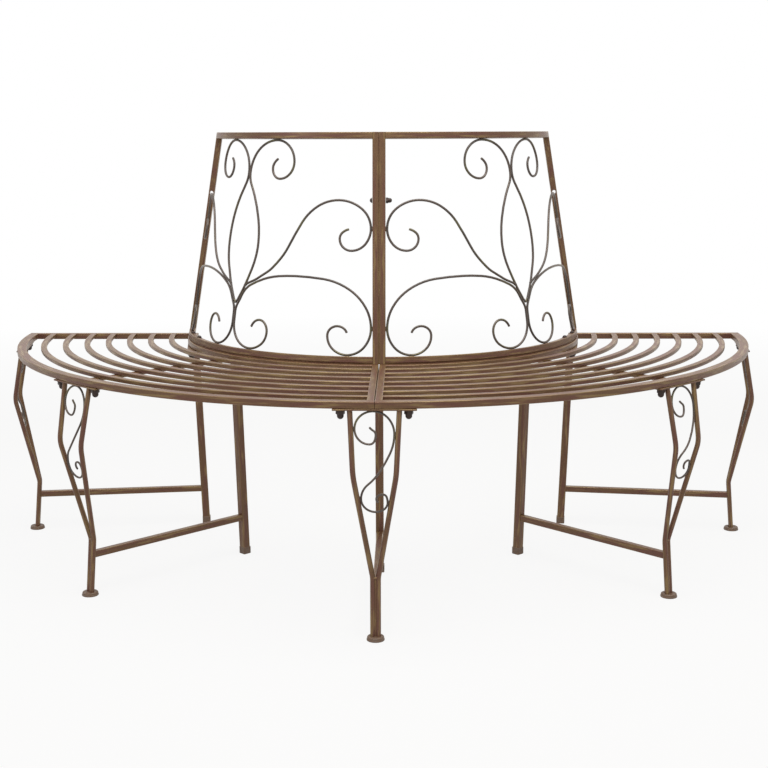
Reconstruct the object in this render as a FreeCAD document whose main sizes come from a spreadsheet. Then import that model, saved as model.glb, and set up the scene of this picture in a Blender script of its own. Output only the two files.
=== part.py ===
# Half-round tree bench of bent and welded steel: two quarter seats, two conical back panels, five legs.
# The tree stands at the origin, which lies on the ground. X is to the right, the viewer stands at -Y and
# the open side of the half ring is the plane Y = 0, where a second half bench can be bolted on.
# Angles round the tree run from +X toward -Y, so 90 degrees is the front centre. All lengths are in mm.
import FreeCAD, Part
import math
import os
import re

import Sketcher
from FreeCAD import Placement, Rotation, Vector

# Driving dimensions: name, value, meaning.
SIZES = [
    ("seat_radius", 800, "outer face of the outer rim"),
    ("tree_radius", 418, "inner face of the inner rim"),
    ("seat_height", 428, "top of the seat above the ground"),
    ("rim_width", 19, "rim tube, across"),
    ("rim_depth", 12.7, "rim tube, upright"),
    ("tube", 12.7, "side of the square tube of rails, posts and stretchers"),
    ("wall", 1.2, "wall of every tube"),
    ("seam_gap", 1.5, "gap between the two quarters at the front centre"),
    ("slat_width", 12, "slat, across"),
    ("slat_depth", 8, "slat, upright"),
    ("crossbar_width", 20, "flat bar under the slats"),
    ("back_overhang", 0.5, "how far the foot of the back panel stands out over the inner rim"),
    ("back_slope", 74, "how far the back panel's top lies inside its foot"),
    ("back_height", 447, "height of the back panel above the seat"),
    ("back_setback", 12, "how far the back panel's axis lies behind the seat's axis"),
    ("join_hole_rise", 70.47, "bolt holes of the end and centre posts, percent of the way up the back"),
    ("join_hole", 8.6, "bore of those holes"),
    ("bolt", 8, "shank of the centre bolt"),
    ("head_flats", 13, "across the flats of the bolt heads of the back"),
    ("head_height", 5.5, "height of those heads"),
    ("centre_nut_height", 14.5, "height of the cap nut on the centre bolt"),
    ("rod_diameter", 4.8, "diameter of the scroll rods"),
    ("back_leg_angle", 8, "angle of the legs beside the open side"),
    ("front_leg_angle", 45, "angle of the legs at the middle of each quarter"),
    ("bar_diameter", 9.5, "diameter of the two bars of an outer leg"),
    ("leg_top_inset", 10, "from the seat's outer face in to the middle of the outer leg at its plate"),
    ("knee_reach", 23.5, "corner of the outer leg's knee, out from the leg's top"),
    ("knee_height", 303, "height of that corner"),
    ("ankle_reach", -15.5, "corner where the two bars come together, out from the leg's top"),
    ("ankle_height", 110, "height of that corner"),
    ("foot_reach", -5.5, "middle of the foot cap, out from the leg's top"),
    ("top_half_spread", 42.9, "half the spacing of the two bars at the plate"),
    ("knee_half_spread", 36.8, "half their spacing at the knee"),
    ("plate_length", 144, "plate under a rim, along the rim"),
    ("plate_thickness", 3, "thickness of that plate"),
    ("plate_bolt_spacing", 116, "spacing of the two bolts of an outer plate"),
    ("back_bolt_start", 50, "from a back inner leg to the nearer bolt of its plate"),
    ("back_bolt_spacing", 70, "spacing of the two bolts of that plate"),
    ("back_plate_start", 10, "how far that plate reaches behind the leg's middle"),
    ("cap_nut_flats", 15, "across the flats of a cap nut"),
    ("cap_nut_height", 16, "height of a cap nut"),
    ("foot_cap_diameter", 32, "round cap under the outer leg"),
    ("foot_cap_height", 13, "height of that cap"),
    ("inner_leg", 15.9, "side of the square inner leg"),
    ("inner_leg_inset", 3, "from the inner rim's inner face out to the middle of the inner leg at its plate"),
    ("inner_leg_slope", 14, "how far the foot of the inner leg lies inside its top"),
    ("inner_cap", 18, "side of the cap under the inner leg"),
    ("inner_cap_height", 15, "height of that cap"),
    ("stretcher_height", 80, "middle of the stretcher above the ground"),
]

SLATS_PER_QUARTER = 7

# Bend radii of the outer leg's bars at its knee and ankle.
LEG_BENDS = (60, 30)

# The scrollwork of a back panel is drawn on the panel's clear opening, laid flat. A station is
# (percent of the way from the panel's middle to its post, percent of the way up, heading in degrees),
# where heading 0 points to the post and 90 points up. Both ends of either scale stand for rods that
# touch: each other at the middle, a post, or a rail. A rod follows its stations in tangent arcs.
UPPER_ROD = [
    (28.2, 90.7, 240), (25.6, 86.5, 270), (30.5, 81.6, 0), (41.0, 89.3, 90), (25.0, 100, 180),
    (0, 84.3, 270), (7.5, 73.1, 297), (15.6, 51.0, 270), (11.0, 38.2, 249), (5.2, 28.5, 243),
    (0.6, 22.1, 243),
]
MIDDLE_ROD = [
    (10.6, 32.4, 24), (29.7, 38.7, 44), (44.8, 54.1, 62), (78.2, 71.7, 0), (100, 58.2, 270),
    (87.2, 48.4, 180), (79.4, 54.4, 90), (85.1, 58.2, 30),
]
LOWER_ROD_SCROLL = [
    (83.8, 9.7, 140), (75.1, 12.8, 180), (71.8, 9.2, 270), (83.3, 0, 0), (100, 11.6, 90),
    (85.9, 30.1, 150), (48.2, 35.6, 180), (22.0, 33.4, 197),
]
LOWER_ROD_STEM = [
    (0, 16.8, 270), (0, 12, 270), (17.6, 0, 0), (29.7, 7.8, 90), (23.1, 13.9, 180), (17.3, 9.9, 250),
]
# The lower rod runs beside these two stations of the upper rod, one rod's thickness away.
SHOULDER = UPPER_ROD[-2:]

# The S-scroll of an outer leg, seen from outside: (percent of the way from the middle to a bar,
# percent of the way up from ankle to plate, heading in degrees), right and up being positive.
LEG_SCROLL = [
    (-26, 91.2, -50), (6, 86.9, -90), (-26, 81.7, 180), (-100, 90.3, 90), (-8, 100, 0),
    (100, 87.4, -90), (35, 66.5, -119), (-100, 50.4, -92), (8, 42, 0), (100, 47.9, 90),
    (55, 52.9, 180), (22, 52.1, 215),
]

# Foot caps are drawn sixteen-sided, bars six-sided and rods four-sided. Bars and rods run in mitred chords:
# no arc stands off its chord by more than this many mm, and no chord turns by more than this angle.
CAP_SIDES = 16
BAR_SIDES = 6
ROD_SIDES = 4
LARGEST_SAG = 1.1
LONGEST_TURN = math.radians(32)

# Longer than the bench in every direction, for blocks that trim.
BEYOND = 1000

doc = FreeCAD.newDocument("tree_bench")
sheet = doc.addObject("Spreadsheet::Sheet", "sizes")
for row, (alias, number, meaning) in enumerate(SIZES, start=1):
    sheet.set(f"A{row}", alias)
    sheet.set(f"B{row}", str(number))
    sheet.setAlias(f"B{row}", alias)
    sheet.set(f"C{row}", meaning)
doc.recompute()

ALIAS_WORDS = re.compile(r"\b(" + "|".join(alias for alias, _, _ in SIZES) + r")\b")
UP = Vector(0, 0, 1)
OUT = Vector(1, 0, 0)
pieces = []


def size(alias):
    """A driving dimension as a plain number."""
    return float(sheet.get(alias))


def bind(item, prop, formula):
    """Bind a property to a formula of driving dimensions."""
    item.setExpression(prop, ALIAS_WORDS.sub(r"sizes.\1", formula))


def keep(item, label):
    """Make an object a sub-part of the bench under this label."""
    item.Label = label
    pieces.append(item)
    return item


def bind_place(item, x, y, z):
    """Bind an object's position to three formulas."""
    for axis, formula in zip("xyz", (x, y, z)):
        bind(item, f"Placement.Base.{axis}", formula)


def box(name, sides, corner):
    """A box, its three sides and its first corner given as formulas."""
    item = doc.addObject("Part::Box", name)
    for prop, formula in zip(("Length", "Width", "Height"), sides):
        bind(item, prop, formula)
    bind_place(item, *corner)
    return item


def boolean(kind, name, base, tool):
    """A Cut or Common of two objects."""
    item = doc.addObject(f"Part::{kind}", name)
    item.Base = base
    item.Tool = tool
    return item


def hollow_box(name, sides, along):
    """A square tube: a box at the origin that is hollow along one of its axes and open at both ends."""
    outside = box(f"{name}_outside", sides, ("0", "0", "0"))
    inner_sides = [side if axis == along else f"{side} - 2 * wall" for axis, side in enumerate(sides)]
    inner_corner = ["0" if axis == along else "wall" for axis in range(3)]
    inside = box(f"{name}_inside", inner_sides, inner_corner)
    return boolean("Cut", f"{name}_tube", outside, inside)


def placed(item, corner, tilt=None):
    """Put an object's own origin at a corner, turned about it by an axis and angle if any are given."""
    if tilt:
        item.Placement = Placement(Vector(), Rotation(tilt[0], 1))
        bind(item, "Placement.Rotation.Angle", tilt[1])
    bind_place(item, *corner)
    return item


def bored(name, item, axis, centre):
    """An object with the join hole bored through it along an axis."""
    drill = doc.addObject("Part::Cylinder", f"{name}_drill")
    bind(drill, "Radius", "join_hole / 2")
    drill.Height = BEYOND
    drill.Placement = Placement(Vector(), Rotation(UP, axis))
    bind_place(drill, *centre)
    return boolean("Cut", f"{name}_bored", item, drill)


def twin_of(item):
    """The mirror twin of a piece, on the other side of the seam."""
    twin = doc.addObject("Part::Mirroring", f"{item.Name}_twin")
    twin.Source = item
    twin.Normal = OUT
    return twin


def keep_both(item, label):
    """Keep a piece of the right-hand quarter, and its mirror twin on the left."""
    keep(item, f"right_{label}")
    keep(twin_of(item), f"left_{label}")


def body_datum(body, role):
    """An origin plane or axis of a body, by its role."""
    return next(item for item in body.Origin.OriginFeatures if item.Role == role)


def outline(sketch, corners):
    """A closed outline of straight lines through corners, each a pair of formulas."""
    count = len(corners)
    rough = [Vector(math.cos(math.tau * i / count), math.sin(math.tau * i / count)) for i in range(count)]
    for i in range(count):
        sketch.addGeometry(Part.LineSegment(rough[i], rough[(i + 1) % count]))
    for i in range(count):
        sketch.addConstraint(Sketcher.Constraint("Coincident", i, 2, (i + 1) % count, 1))
    for i, pair in enumerate(corners):
        for kind, formula in zip(("DistanceX", "DistanceY"), pair):
            index = sketch.addConstraint(Sketcher.Constraint(kind, -1, 1, i, 1, 1.0))
            bind(sketch, f"Constraints[{index}]", formula)


def rectangle(left, right, bottom, top):
    """The four corners of a rectangle."""
    return [(left, bottom), (right, bottom), (right, top), (left, top)]


def bent_bar(name, corners, lean=None):
    """A bar bent through a quarter circle: a section over X and Z, turned about Z from +X toward -Y.

    A lean is the section's own origin and its tilt, as three formulas.
    """
    body = doc.addObject("PartDesign::Body", name)
    sketch = body.newObject("Sketcher::SketchObject", f"{name}_section")
    sketch.AttachmentSupport = (body_datum(body, "XZ_Plane"), [""])
    sketch.MapMode = "FlatFace"
    if lean:
        bind(sketch, "AttachmentOffset.Base.x", lean[0])
        bind(sketch, "AttachmentOffset.Base.y", lean[1])
        bind(sketch, "AttachmentOffset.Rotation.Angle", lean[2])
    outline(sketch, corners)
    turn = body.newObject("PartDesign::Revolution", f"{name}_bend")
    turn.Profile = sketch
    turn.ReferenceAxis = (body_datum(body, "Z_Axis"), [""])
    turn.Angle = 90
    turn.Reversed = True
    return body


def trimmed(name, item, from_x, to_y, from_z="0"):
    """The part of an object right of a plane X, in front of a plane Y and above a plane Z."""
    far = str(2 * BEYOND)
    block = box(f"{name}_trim", (far, far, far), (from_x, f"{to_y} - {far}", from_z))
    return boolean("Common", f"{name}_trimmed", item, block)


def make_seat():
    """The seat's right quarter and its twin: rims, rails, slats and a crossbar under the slats."""
    underside = "seat_height - rim_depth"
    inner_face = "tree_radius + rim_width"
    outer_face = "seat_radius - rim_width"
    clear_span = "seat_radius - tree_radius - 2 * rim_width"
    rims = {
        "outer_rim": rectangle(outer_face, "seat_radius", underside, "seat_height"),
        "inner_rim": rectangle("tree_radius", inner_face, underside, "seat_height"),
    }
    for label, corners in rims.items():
        keep_both(trimmed(label, bent_bar(label, corners), "seam_gap / 2", "0"), label)

    end_rail = hollow_box("end_rail", (clear_span, "tube", "tube"), 0)
    keep_both(placed(end_rail, (inner_face, "-tube", "seat_height - tube")), "end_rail")
    centre_rail = hollow_box("centre_rail", ("tube", clear_span, "tube"), 1)
    corner = ("seam_gap / 2", f"-({outer_face})", "seat_height - tube")
    keep_both(placed(centre_rail, corner), "centre_rail")

    for count in range(1, SLATS_PER_QUARTER + 1):
        middle = f"tree_radius + rim_width / 2 + (seat_radius - tree_radius - rim_width) * {count}"
        middle += f" / {SLATS_PER_QUARTER + 1}"
        sides = (f"{middle} - slat_width / 2", f"{middle} + slat_width / 2")
        slat = bent_bar(f"slat_{count}", rectangle(*sides, "seat_height - slat_depth", "seat_height"))
        slat = trimmed(f"slat_{count}", slat, "seam_gap / 2 + tube", "-tube")
        both = doc.addObject("Part::Compound", f"slat_{count}_both")
        both.Links = [slat, twin_of(slat)]
        keep(both, f"slats_{count}")

    sides = (clear_span, "crossbar_width", "rim_depth - slat_depth")
    crossbar = box("crossbar", sides, ("0", "0", "0"))
    cosine = "cos(front_leg_angle * 1deg)"
    sine = "sin(front_leg_angle * 1deg)"
    corner = (
        f"({inner_face}) * {cosine} - crossbar_width / 2 * {sine}",
        f"-({inner_face}) * {sine} - crossbar_width / 2 * {cosine}",
        underside,
    )
    keep_both(placed(crossbar, corner, (UP * -1, "front_leg_angle")), "crossbar")


BACK_RADIUS = "(tree_radius + rim_width + back_overhang)"
LEAN = "atan(back_slope / back_height)"
SLANT = "sqrt(back_height ^ 2 + back_slope ^ 2)"
RAIL_LIFT = "tube * back_slope / back_height"
HOLE_HEIGHT = "seat_height + back_height * join_hole_rise / 100"


def make_back():
    """The right back panel's frame and its twin: two bent rails between two leaning posts."""
    frame = (BACK_RADIUS, "seat_height", LEAN)
    rails = {
        "back_bottom_rail": rectangle("-tube", "0", RAIL_LIFT, f"{RAIL_LIFT} + tube"),
        "back_top_rail": rectangle("-tube", "0", f"{SLANT} - tube", SLANT),
    }
    for label, corners in rails.items():
        rail = bent_bar(label, corners, frame)
        bind(rail, "Placement.Base.y", "back_setback")
        keep_both(trimmed(label, rail, "seam_gap / 2 + tube", "-tube"), label)

    end_post = hollow_box("end_post", ("tube", "tube", SLANT), 2)
    corner = (f"{BACK_RADIUS} - tube * cos({LEAN})", "-tube", f"seat_height - tube * sin({LEAN})")
    placed(end_post, corner, (Vector(0, -1, 0), LEAN))
    end_post = trimmed("end_post", end_post, "0", "0", "seat_height")
    hole_x = f"{BACK_RADIUS} - back_slope * join_hole_rise / 100 - tube / 2 / cos({LEAN})"
    drill_start = (hole_x, "0", HOLE_HEIGHT)
    keep_both(bored("end_post", end_post, Vector(0, -1, 0), drill_start), "end_post")

    centre_post = hollow_box("centre_post", ("tube", "tube", SLANT), 2)
    corner = ("seam_gap / 2", f"back_setback - {BACK_RADIUS}", "seat_height")
    placed(centre_post, corner, (Vector(-1, 0, 0), LEAN))
    centre_post = trimmed("centre_post", centre_post, "0", str(BEYOND), "seat_height")
    hole_y = f"back_setback - ({hole_x})"
    drill_start = ("0", hole_y, HOLE_HEIGHT)
    keep_both(bored("centre_post", centre_post, OUT, drill_start), "centre_post")


def tangent_arc(start, heading, end):
    """The arc that leaves a point along a heading and ends at another point, or a line if they agree."""
    chord = end - start
    normal = heading.cross(chord)
    if normal.Length < 1e-6 * chord.Length:
        return Part.LineSegment(start, end).toShape()
    half_turn = heading.getAngle(chord)
    radius = chord.Length / 2 / math.sin(half_turn)
    to_centre = normal.cross(heading).normalize()
    centre = start + to_centre * radius
    middle = centre + Rotation(normal, math.degrees(half_turn)).multVec(start - centre)
    return Part.Arc(start, middle, end).toShape()


def two_arcs(start, heading, end, end_heading):
    """Two arcs that meet with a common tangent and join two points along their headings."""
    chord = end - start
    across = chord.dot(heading + end_heading)
    spread = 2 * (1 - heading.dot(end_heading))
    if spread < 1e-9:
        reach = chord.dot(chord) / (4 * chord.dot(heading))
    else:
        reach = (math.sqrt(across ** 2 + spread * chord.dot(chord)) - across) / spread
    meeting = (start + heading * reach + end - end_heading * reach) * 0.5
    back = tangent_arc(end, end_heading * -1, meeting)
    ahead = Part.Arc(meeting, back.valueAt(sum(back.ParameterRange) / 2), end).toShape()
    return [tangent_arc(start, heading, meeting), ahead]


def arc_path(stations):
    """Spans of two tangent arcs between stations, each a point and a heading."""
    return [two_arcs(*start, *end) for start, end in zip(stations, stations[1:])]


def rounded_path(points, radii):
    """Spans of straight runs through points, with an arc of its own radius at each corner between them."""
    path = []
    start = points[0]
    for before, corner, after, radius in zip(points, points[1:], points[2:], radii):
        leave = (before - corner).normalize()
        arrive = (after - corner).normalize()
        reach = radius / math.tan(leave.getAngle(arrive) / 2)
        entry = corner + leave * reach
        leave_point = corner + arrive * reach
        path.append([Part.LineSegment(start, entry).toShape()])
        path.append([tangent_arc(entry, leave * -1, leave_point)])
        start = leave_point
    path.append([Part.LineSegment(start, points[-1]).toShape()])
    return path


def chords_needed(edge):
    """How many chords stand for an arc, as a fraction. A straight run needs none of its own."""
    if not isinstance(edge.Curve, Part.Circle):
        return 0
    step = 2 * math.acos(max(1 - LARGEST_SAG / edge.Curve.Radius, 0))
    return (edge.LastParameter - edge.FirstParameter) / min(LONGEST_TURN, step)


def chords(spans):
    """Points along spans of tangent lines and arcs. The end of each span is always one of them."""
    first = spans[0][0]
    points = [first.valueAt(first.FirstParameter)]
    for span in spans:
        needs = [chords_needed(edge) for edge in span]
        count = max(math.ceil(sum(needs) - 0.2), 1)
        for i in range(1, count):
            goal = sum(needs) * i / count
            edge, need = span[0], needs[0]
            if goal > need:
                goal -= need
                edge, need = span[1], needs[1]
            low, high = edge.ParameterRange
            points.append(edge.valueAt(low + (high - low) * goal / need))
        last = span[-1]
        points.append(last.valueAt(last.LastParameter))
    return points


def slid_onto(ring, heading, point, normal):
    """A ring of points slid along a heading until it lies in a plane."""
    reach = heading.dot(normal)
    return [corner + heading * ((point - corner).dot(normal) / reach) for corner in ring]


def bar_along(path, diameter, side, sides):
    """A bar of a few flat sides along a path, mitred where its chords meet.

    A six-sided bar has a corner and a four-sided one has a flat side toward the given side.
    """
    points = chords(path)
    headings = [(end - start).normalize() for start, end in zip(points, points[1:])]
    toward = (side - headings[0] * side.dot(headings[0])).normalize() * (diameter / 2)
    if sides == 4:
        toward = (toward + headings[0].cross(toward))
    turns = [Rotation(headings[0], 360 * i / sides) for i in range(sides)]
    ring = [points[0] + turn.multVec(toward) for turn in turns]
    faces = [Part.Face(Part.makePolygon(ring + ring[:1]))]
    for i, heading in enumerate(headings):
        mitre = heading + headings[min(i + 1, len(headings) - 1)]
        following = slid_onto(ring, heading, points[i + 1], mitre)
        for j in range(sides):
            k = (j + 1) % sides
            side_face = [ring[j], ring[k], following[k], following[j], ring[j]]
            faces.append(Part.Face(Part.makePolygon(side_face)))
        ring = following
    faces.append(Part.Face(Part.makePolygon(ring + ring[:1])))
    shell = Part.Shell(faces)
    shell.sewShape()
    solid = Part.Solid(shell)
    if solid.Volume < 0:
        solid.reverse()
    return solid


def feature(name, shape):
    """An object that holds a shape made here from the driving dimensions."""
    item = doc.addObject("Part::Feature", name)
    item.Shape = shape
    return item


def back_radius():
    """Outer face of a back panel at the seat."""
    return size("tree_radius") + size("rim_width") + size("back_overhang")


def panel_fall():
    """How far a back panel leans in for each mm of height."""
    return size("back_slope") / size("back_height")


def panel_middle(up_slant):
    """Radius and height of the panel's middle surface, some way up its slant."""
    lean = math.atan(panel_fall())
    half = size("tube") / 2
    radius = back_radius() - up_slant * math.sin(lean) - half * math.cos(lean)
    return radius, size("seat_height") + up_slant * math.cos(lean) - half * math.sin(lean)


def panel_axes(angle, radius, height):
    """A point of the panel's middle surface, with the directions out of it and up its slant."""
    lean = math.atan(panel_fall())
    outward = Vector(math.cos(angle), -math.sin(angle), 0)
    point = outward * radius + Vector(0, size("back_setback"), height)
    return point, outward, UP * math.cos(lean) - outward * math.sin(lean)


def rail_top(angle):
    """The middle of the bottom rail's upper face at an angle, and the direction square to that face."""
    point, _, up_panel = panel_axes(angle, *panel_middle(size("tube") * (1 + panel_fall())))
    return point, up_panel


def panel_station(share, climb, degrees, side):
    """A scroll rod's station on the panel's middle surface, as a point and a heading."""
    tube = size("tube")
    rod = size("rod_diameter")
    lowest = tube * (1 + panel_fall()) + rod / 2
    highest = size("back_height") * math.sqrt(1 + panel_fall() ** 2) - tube - rod / 2
    radius, height = panel_middle(lowest + (highest - lowest) * climb / 100)
    end_angle = math.asin((size("back_setback") + tube) / radius)
    centre_angle = math.acos((tube + size("seam_gap") / 2) / radius)
    half_width = radius * (centre_angle - end_angle) / 2
    across = rod / 2 + (half_width - rod) * share / 100
    angle = (end_angle + centre_angle) / 2 + side * across / radius
    point, outward, up_panel = panel_axes(angle, radius, height)
    along = outward.cross(UP) * side
    turn = math.radians(degrees)
    return point, along * math.cos(turn) + up_panel * math.sin(turn)


def beside(share, climb, degrees, side):
    """The station one rod's thickness outside another one."""
    point, heading = panel_station(share, climb, degrees, side)
    _, outside = panel_station(share, climb, degrees + 90, side)
    return point + outside * size("rod_diameter"), heading


def make_scrollwork():
    """The right panel's three pairs of scroll rods, and their twins."""
    for label in ("upper_scrolls", "middle_scrolls", "lower_scrolls"):
        rods = []
        for side in (1, -1):
            if label == "upper_scrolls":
                stations = [panel_station(*station, side) for station in UPPER_ROD]
            elif label == "middle_scrolls":
                stations = [panel_station(*station, side) for station in MIDDLE_ROD]
            else:
                stations = [panel_station(*station, side) for station in LOWER_ROD_SCROLL]
                stations += [beside(*station, side) for station in SHOULDER]
                stations += [panel_station(*station, side) for station in LOWER_ROD_STEM]
                stations = [(point, heading * -1) for point, heading in reversed(stations)]
            point, heading = stations[0]
            flat_side = heading.cross(Vector(point.x, point.y - size("back_setback"), 0))
            rods.append(bar_along(arc_path(stations), size("rod_diameter"), flat_side, ROD_SIDES))
        keep_both(feature(label, Part.Compound(rods)), label)


def leg_radius(place):
    """How far a place of an outer leg lies from the tree's axis."""
    top = size("seat_radius") - size("leg_top_inset")
    return top if place == "top" else top + size(f"{place}_reach")


def leg_corner(place, spread, hand):
    """A corner of an outer leg's bar, by the name of its place."""
    return Vector(leg_radius(place), hand * spread, size(f"{place}_height"))


def inner_leg_top():
    """How far the middle of an inner leg lies from the tree's axis, at its plate."""
    return size("tree_radius") + size("inner_leg_inset")


def inner_leg_foot():
    """The same at the ground."""
    return inner_leg_top() - size("inner_leg_slope")


def outer_leg_path(hand):
    """The bent centre line of one bar of an outer leg, from its foot cap to its plate."""
    together = size("bar_diameter") / 2
    foot = Vector(leg_radius("foot"), hand * together, 0)
    top = Vector(leg_radius("top"), hand * size("top_half_spread"), size("seat_height"))
    ankle = leg_corner("ankle", together, hand)
    knee = leg_corner("knee", size("knee_half_spread"), hand)
    return rounded_path([top, knee, ankle, foot], LEG_BENDS)


def outer_leg_bars():
    """Both bars of an outer leg, cut flat at the foot cap and at the plate."""
    low = size("foot_cap_height")
    high = size("seat_height") - size("rim_depth") - size("plate_thickness")
    room = Part.makeBox(BEYOND, BEYOND, high - low, Vector(0, -BEYOND / 2, low))
    sideways = Vector(0, 1, 0)
    bars = [bar_along(outer_leg_path(hand), size("bar_diameter"), sideways, BAR_SIDES) for hand in (1, -1)]
    return Part.Compound([bar.common(room).Solids[0] for bar in bars])


def bar_at(height):
    """Where the right-hand bar's centre line passes a height, and its rise there for each mm of height."""
    points = Part.Wire([span[0] for span in outer_leg_path(1)]).discretize(Number=600)
    for above, below in zip(points, points[1:]):
        if above.z >= height >= below.z:
            rise = (above - below) * (1 / (above.z - below.z))
            return below + rise * (height - below.z), rise
    raise ValueError(f"the leg doesn't reach the height {height}")


def leg_scroll():
    """The S-scroll between the two bars of an outer leg."""
    rod = size("rod_diameter")
    top = size("seat_height") - size("rim_depth") - size("plate_thickness") - rod / 2
    ankle = size("ankle_height")
    stations = []
    for share, climb, degrees in LEG_SCROLL:
        height = ankle + (top - ankle) * climb / 100
        centre, rise = bar_at(height)
        room = centre.y - (size("bar_diameter") + rod) / 2
        turn = math.radians(degrees)
        heading = Vector(rise.x * math.sin(turn), math.cos(turn), math.sin(turn))
        stations.append((Vector(centre.x, room * share / 100, height), heading.normalize()))
    return bar_along(arc_path(stations), rod, stations[0][1].cross(OUT), ROD_SIDES)


def inner_leg_block(hollow):
    """The inner leg's square tube from its cap to its plate, or the same block filled."""
    low = size("inner_cap_height")
    high = size("seat_height") - size("rim_depth") - size("plate_thickness")
    foot = Vector(inner_leg_foot(), 0, 0)
    top = Vector(inner_leg_top(), 0, high)
    rise = (top - foot).normalize()
    place = Placement(foot - rise * size("inner_leg"), Rotation(UP, rise))
    long = high + 3 * size("inner_leg")
    side = size("inner_leg")
    bore = side - 2 * size("wall")
    block = Part.makeBox(side, side, long, Vector(-side / 2, -side / 2, 0))
    if hollow:
        block = block.cut(Part.makeBox(bore, bore, long, Vector(-bore / 2, -bore / 2, 0)))
    block.Placement = place
    return block.common(Part.makeBox(BEYOND, BEYOND, high - low, Vector(0, -BEYOND / 2, low)))


def stretcher():
    """The square tube between the inner leg and the outer leg's bars, cut to the inner leg's lean."""
    tube = size("tube")
    bore = tube - 2 * size("wall")
    middle = size("stretcher_height")
    start = inner_leg_foot()
    end = bar_at(middle)[0].x - size("bar_diameter") / 2 * math.cos(math.pi / BAR_SIDES)
    outside = Part.makeBox(end - start, tube, tube, Vector(start, -tube / 2, middle - tube / 2))
    inside = Part.makeBox(end - start, bore, bore, Vector(start, -bore / 2, middle - bore / 2))
    return outside.cut(inside).cut(inner_leg_block(False)).Solids[-1]


def prism(sides, flats, height, centre, rise=UP):
    """A prism of some number of sides, given across its flats, that rises from a point."""
    turns = [math.tau * i / sides for i in range(sides)]
    reach = flats / 2 / math.cos(math.pi / sides)
    corners = [Vector(math.cos(turn), math.sin(turn), 0) * reach for turn in turns]
    solid = Part.Face(Part.makePolygon(corners + corners[:1])).extrude(UP * height)
    solid.Placement = Placement(centre, Rotation(UP, rise))
    return solid


def hexagon(flats, height, centre, rise=UP):
    """A nut or a bolt head that rises from a point."""
    return prism(6, flats, height, centre, rise)


def rim_bolt_points(where, name):
    """The plate's middle and its two bolts, as distances along the rim from the leg, left negative."""
    if where == "inner" and "back" in name:
        near = size("back_bolt_start")
        far = near + size("back_bolt_spacing")
        front = -1 if name.startswith("right") else 1
        return front * (size("plate_length") / 2 - size("back_plate_start")), (front * near, front * far)
    half = size("plate_bolt_spacing") / 2
    return 0, (-half, half)


def leg_angle(name):
    """The angle of a leg round the tree."""
    if name == "centre_leg":
        return 90
    angle = size("back_leg_angle" if "back" in name else "front_leg_angle")
    return angle if name.startswith("right") else 180 - angle


LEGS = ("left_back_leg", "left_front_leg", "centre_leg", "right_front_leg", "right_back_leg")


def make_legs():
    """Five leg frames. Each is made along +X and turned to its place round the tree."""
    rim_bottom = size("seat_height") - size("rim_depth")
    plate_bottom = rim_bottom - size("plate_thickness")
    long = size("plate_length")
    wide = size("rim_width")
    rim_middles = {"outer": size("seat_radius") - wide / 2, "inner": size("tree_radius") + wide / 2}
    shared = {}
    for name in LEGS:
        turn = Placement(Vector(), Rotation(UP, -leg_angle(name)))
        own = {
            "outer_bars": outer_leg_bars(),
            "scroll": leg_scroll(),
            "inner_post": inner_leg_block(True).Solids[0],
            "stretcher": stretcher(),
        }
        for label, shape in own.items():
            item = keep(feature(f"{name}_{label}", shape), f"{name}_{label}")
            item.Placement = turn
        for where, radius in rim_middles.items():
            middle, bolts = rim_bolt_points(where, name)
            corner = Vector(radius - wide / 2, middle - long / 2, plate_bottom)
            plate = Part.makeBox(wide, long, size("plate_thickness"), corner)
            shared.setdefault(f"{where}_plates", []).append(plate.transformed(turn.toMatrix()))
            for bolt in bolts:
                start = Vector(radius, bolt, plate_bottom)
                nut = hexagon(size("cap_nut_flats"), size("cap_nut_height"), start, -UP)
                shared.setdefault(f"{where}_cap_nuts", []).append(nut.transformed(turn.toMatrix()))
        foot = Vector(leg_radius("foot"), 0, 0)
        cap = prism(CAP_SIDES, size("foot_cap_diameter"), size("foot_cap_height"), foot)
        side = size("inner_cap")
        corner = Vector(inner_leg_foot() - side / 2, -side / 2, 0)
        inner_cap = Part.makeBox(side, side, size("inner_cap_height"), corner)
        shared.setdefault("foot_caps", []).append(cap.transformed(turn.toMatrix()))
        shared.setdefault("inner_foot_caps", []).append(inner_cap.transformed(turn.toMatrix()))
    for label, shapes in shared.items():
        keep(feature(label, Part.Compound(shapes)), label)


def make_back_bolts():
    """The bolt heads on the bottom rails over the back inner legs, and the centre posts' bolt."""
    flats = size("head_flats")
    tall = size("head_height")
    tube = size("tube")
    radius = size("tree_radius") + size("rim_width") / 2
    heads = []
    for distance in rim_bolt_points("inner", "left_back_leg")[1]:
        angle = math.radians(size("back_leg_angle")) + distance / radius
        point, rise = rail_top(angle)
        head = hexagon(flats, tall, point, rise)
        heads += [head, head.mirror(Vector(), OUT)]
    keep(feature("rail_bolts", Part.Compound(heads)), "rail_bolts")

    post_face = size("seam_gap") / 2 + tube
    rise = size("join_hole_rise") / 100
    height = size("seat_height") + size("back_height") * rise
    outer_face = back_radius() - size("back_slope") * rise
    middle = outer_face - tube / 2 / math.cos(math.atan(panel_fall()))
    start = Vector(-post_face, size("back_setback") - middle, height)
    far = Vector(post_face, start.y, height)
    shank = Part.makeCylinder(size("bolt") / 2, 2 * post_face, start, OUT)
    bolt = shank.fuse(hexagon(flats, tall, start, -OUT)).removeSplitter()
    nut = hexagon(flats, size("centre_nut_height"), far, OUT)
    keep(feature("centre_bolt", bolt), "centre_bolt")
    keep(feature("centre_nut", nut), "centre_nut")


make_seat()
make_back()
make_scrollwork()
make_legs()
make_back_bolts()
doc.recompute()

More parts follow.
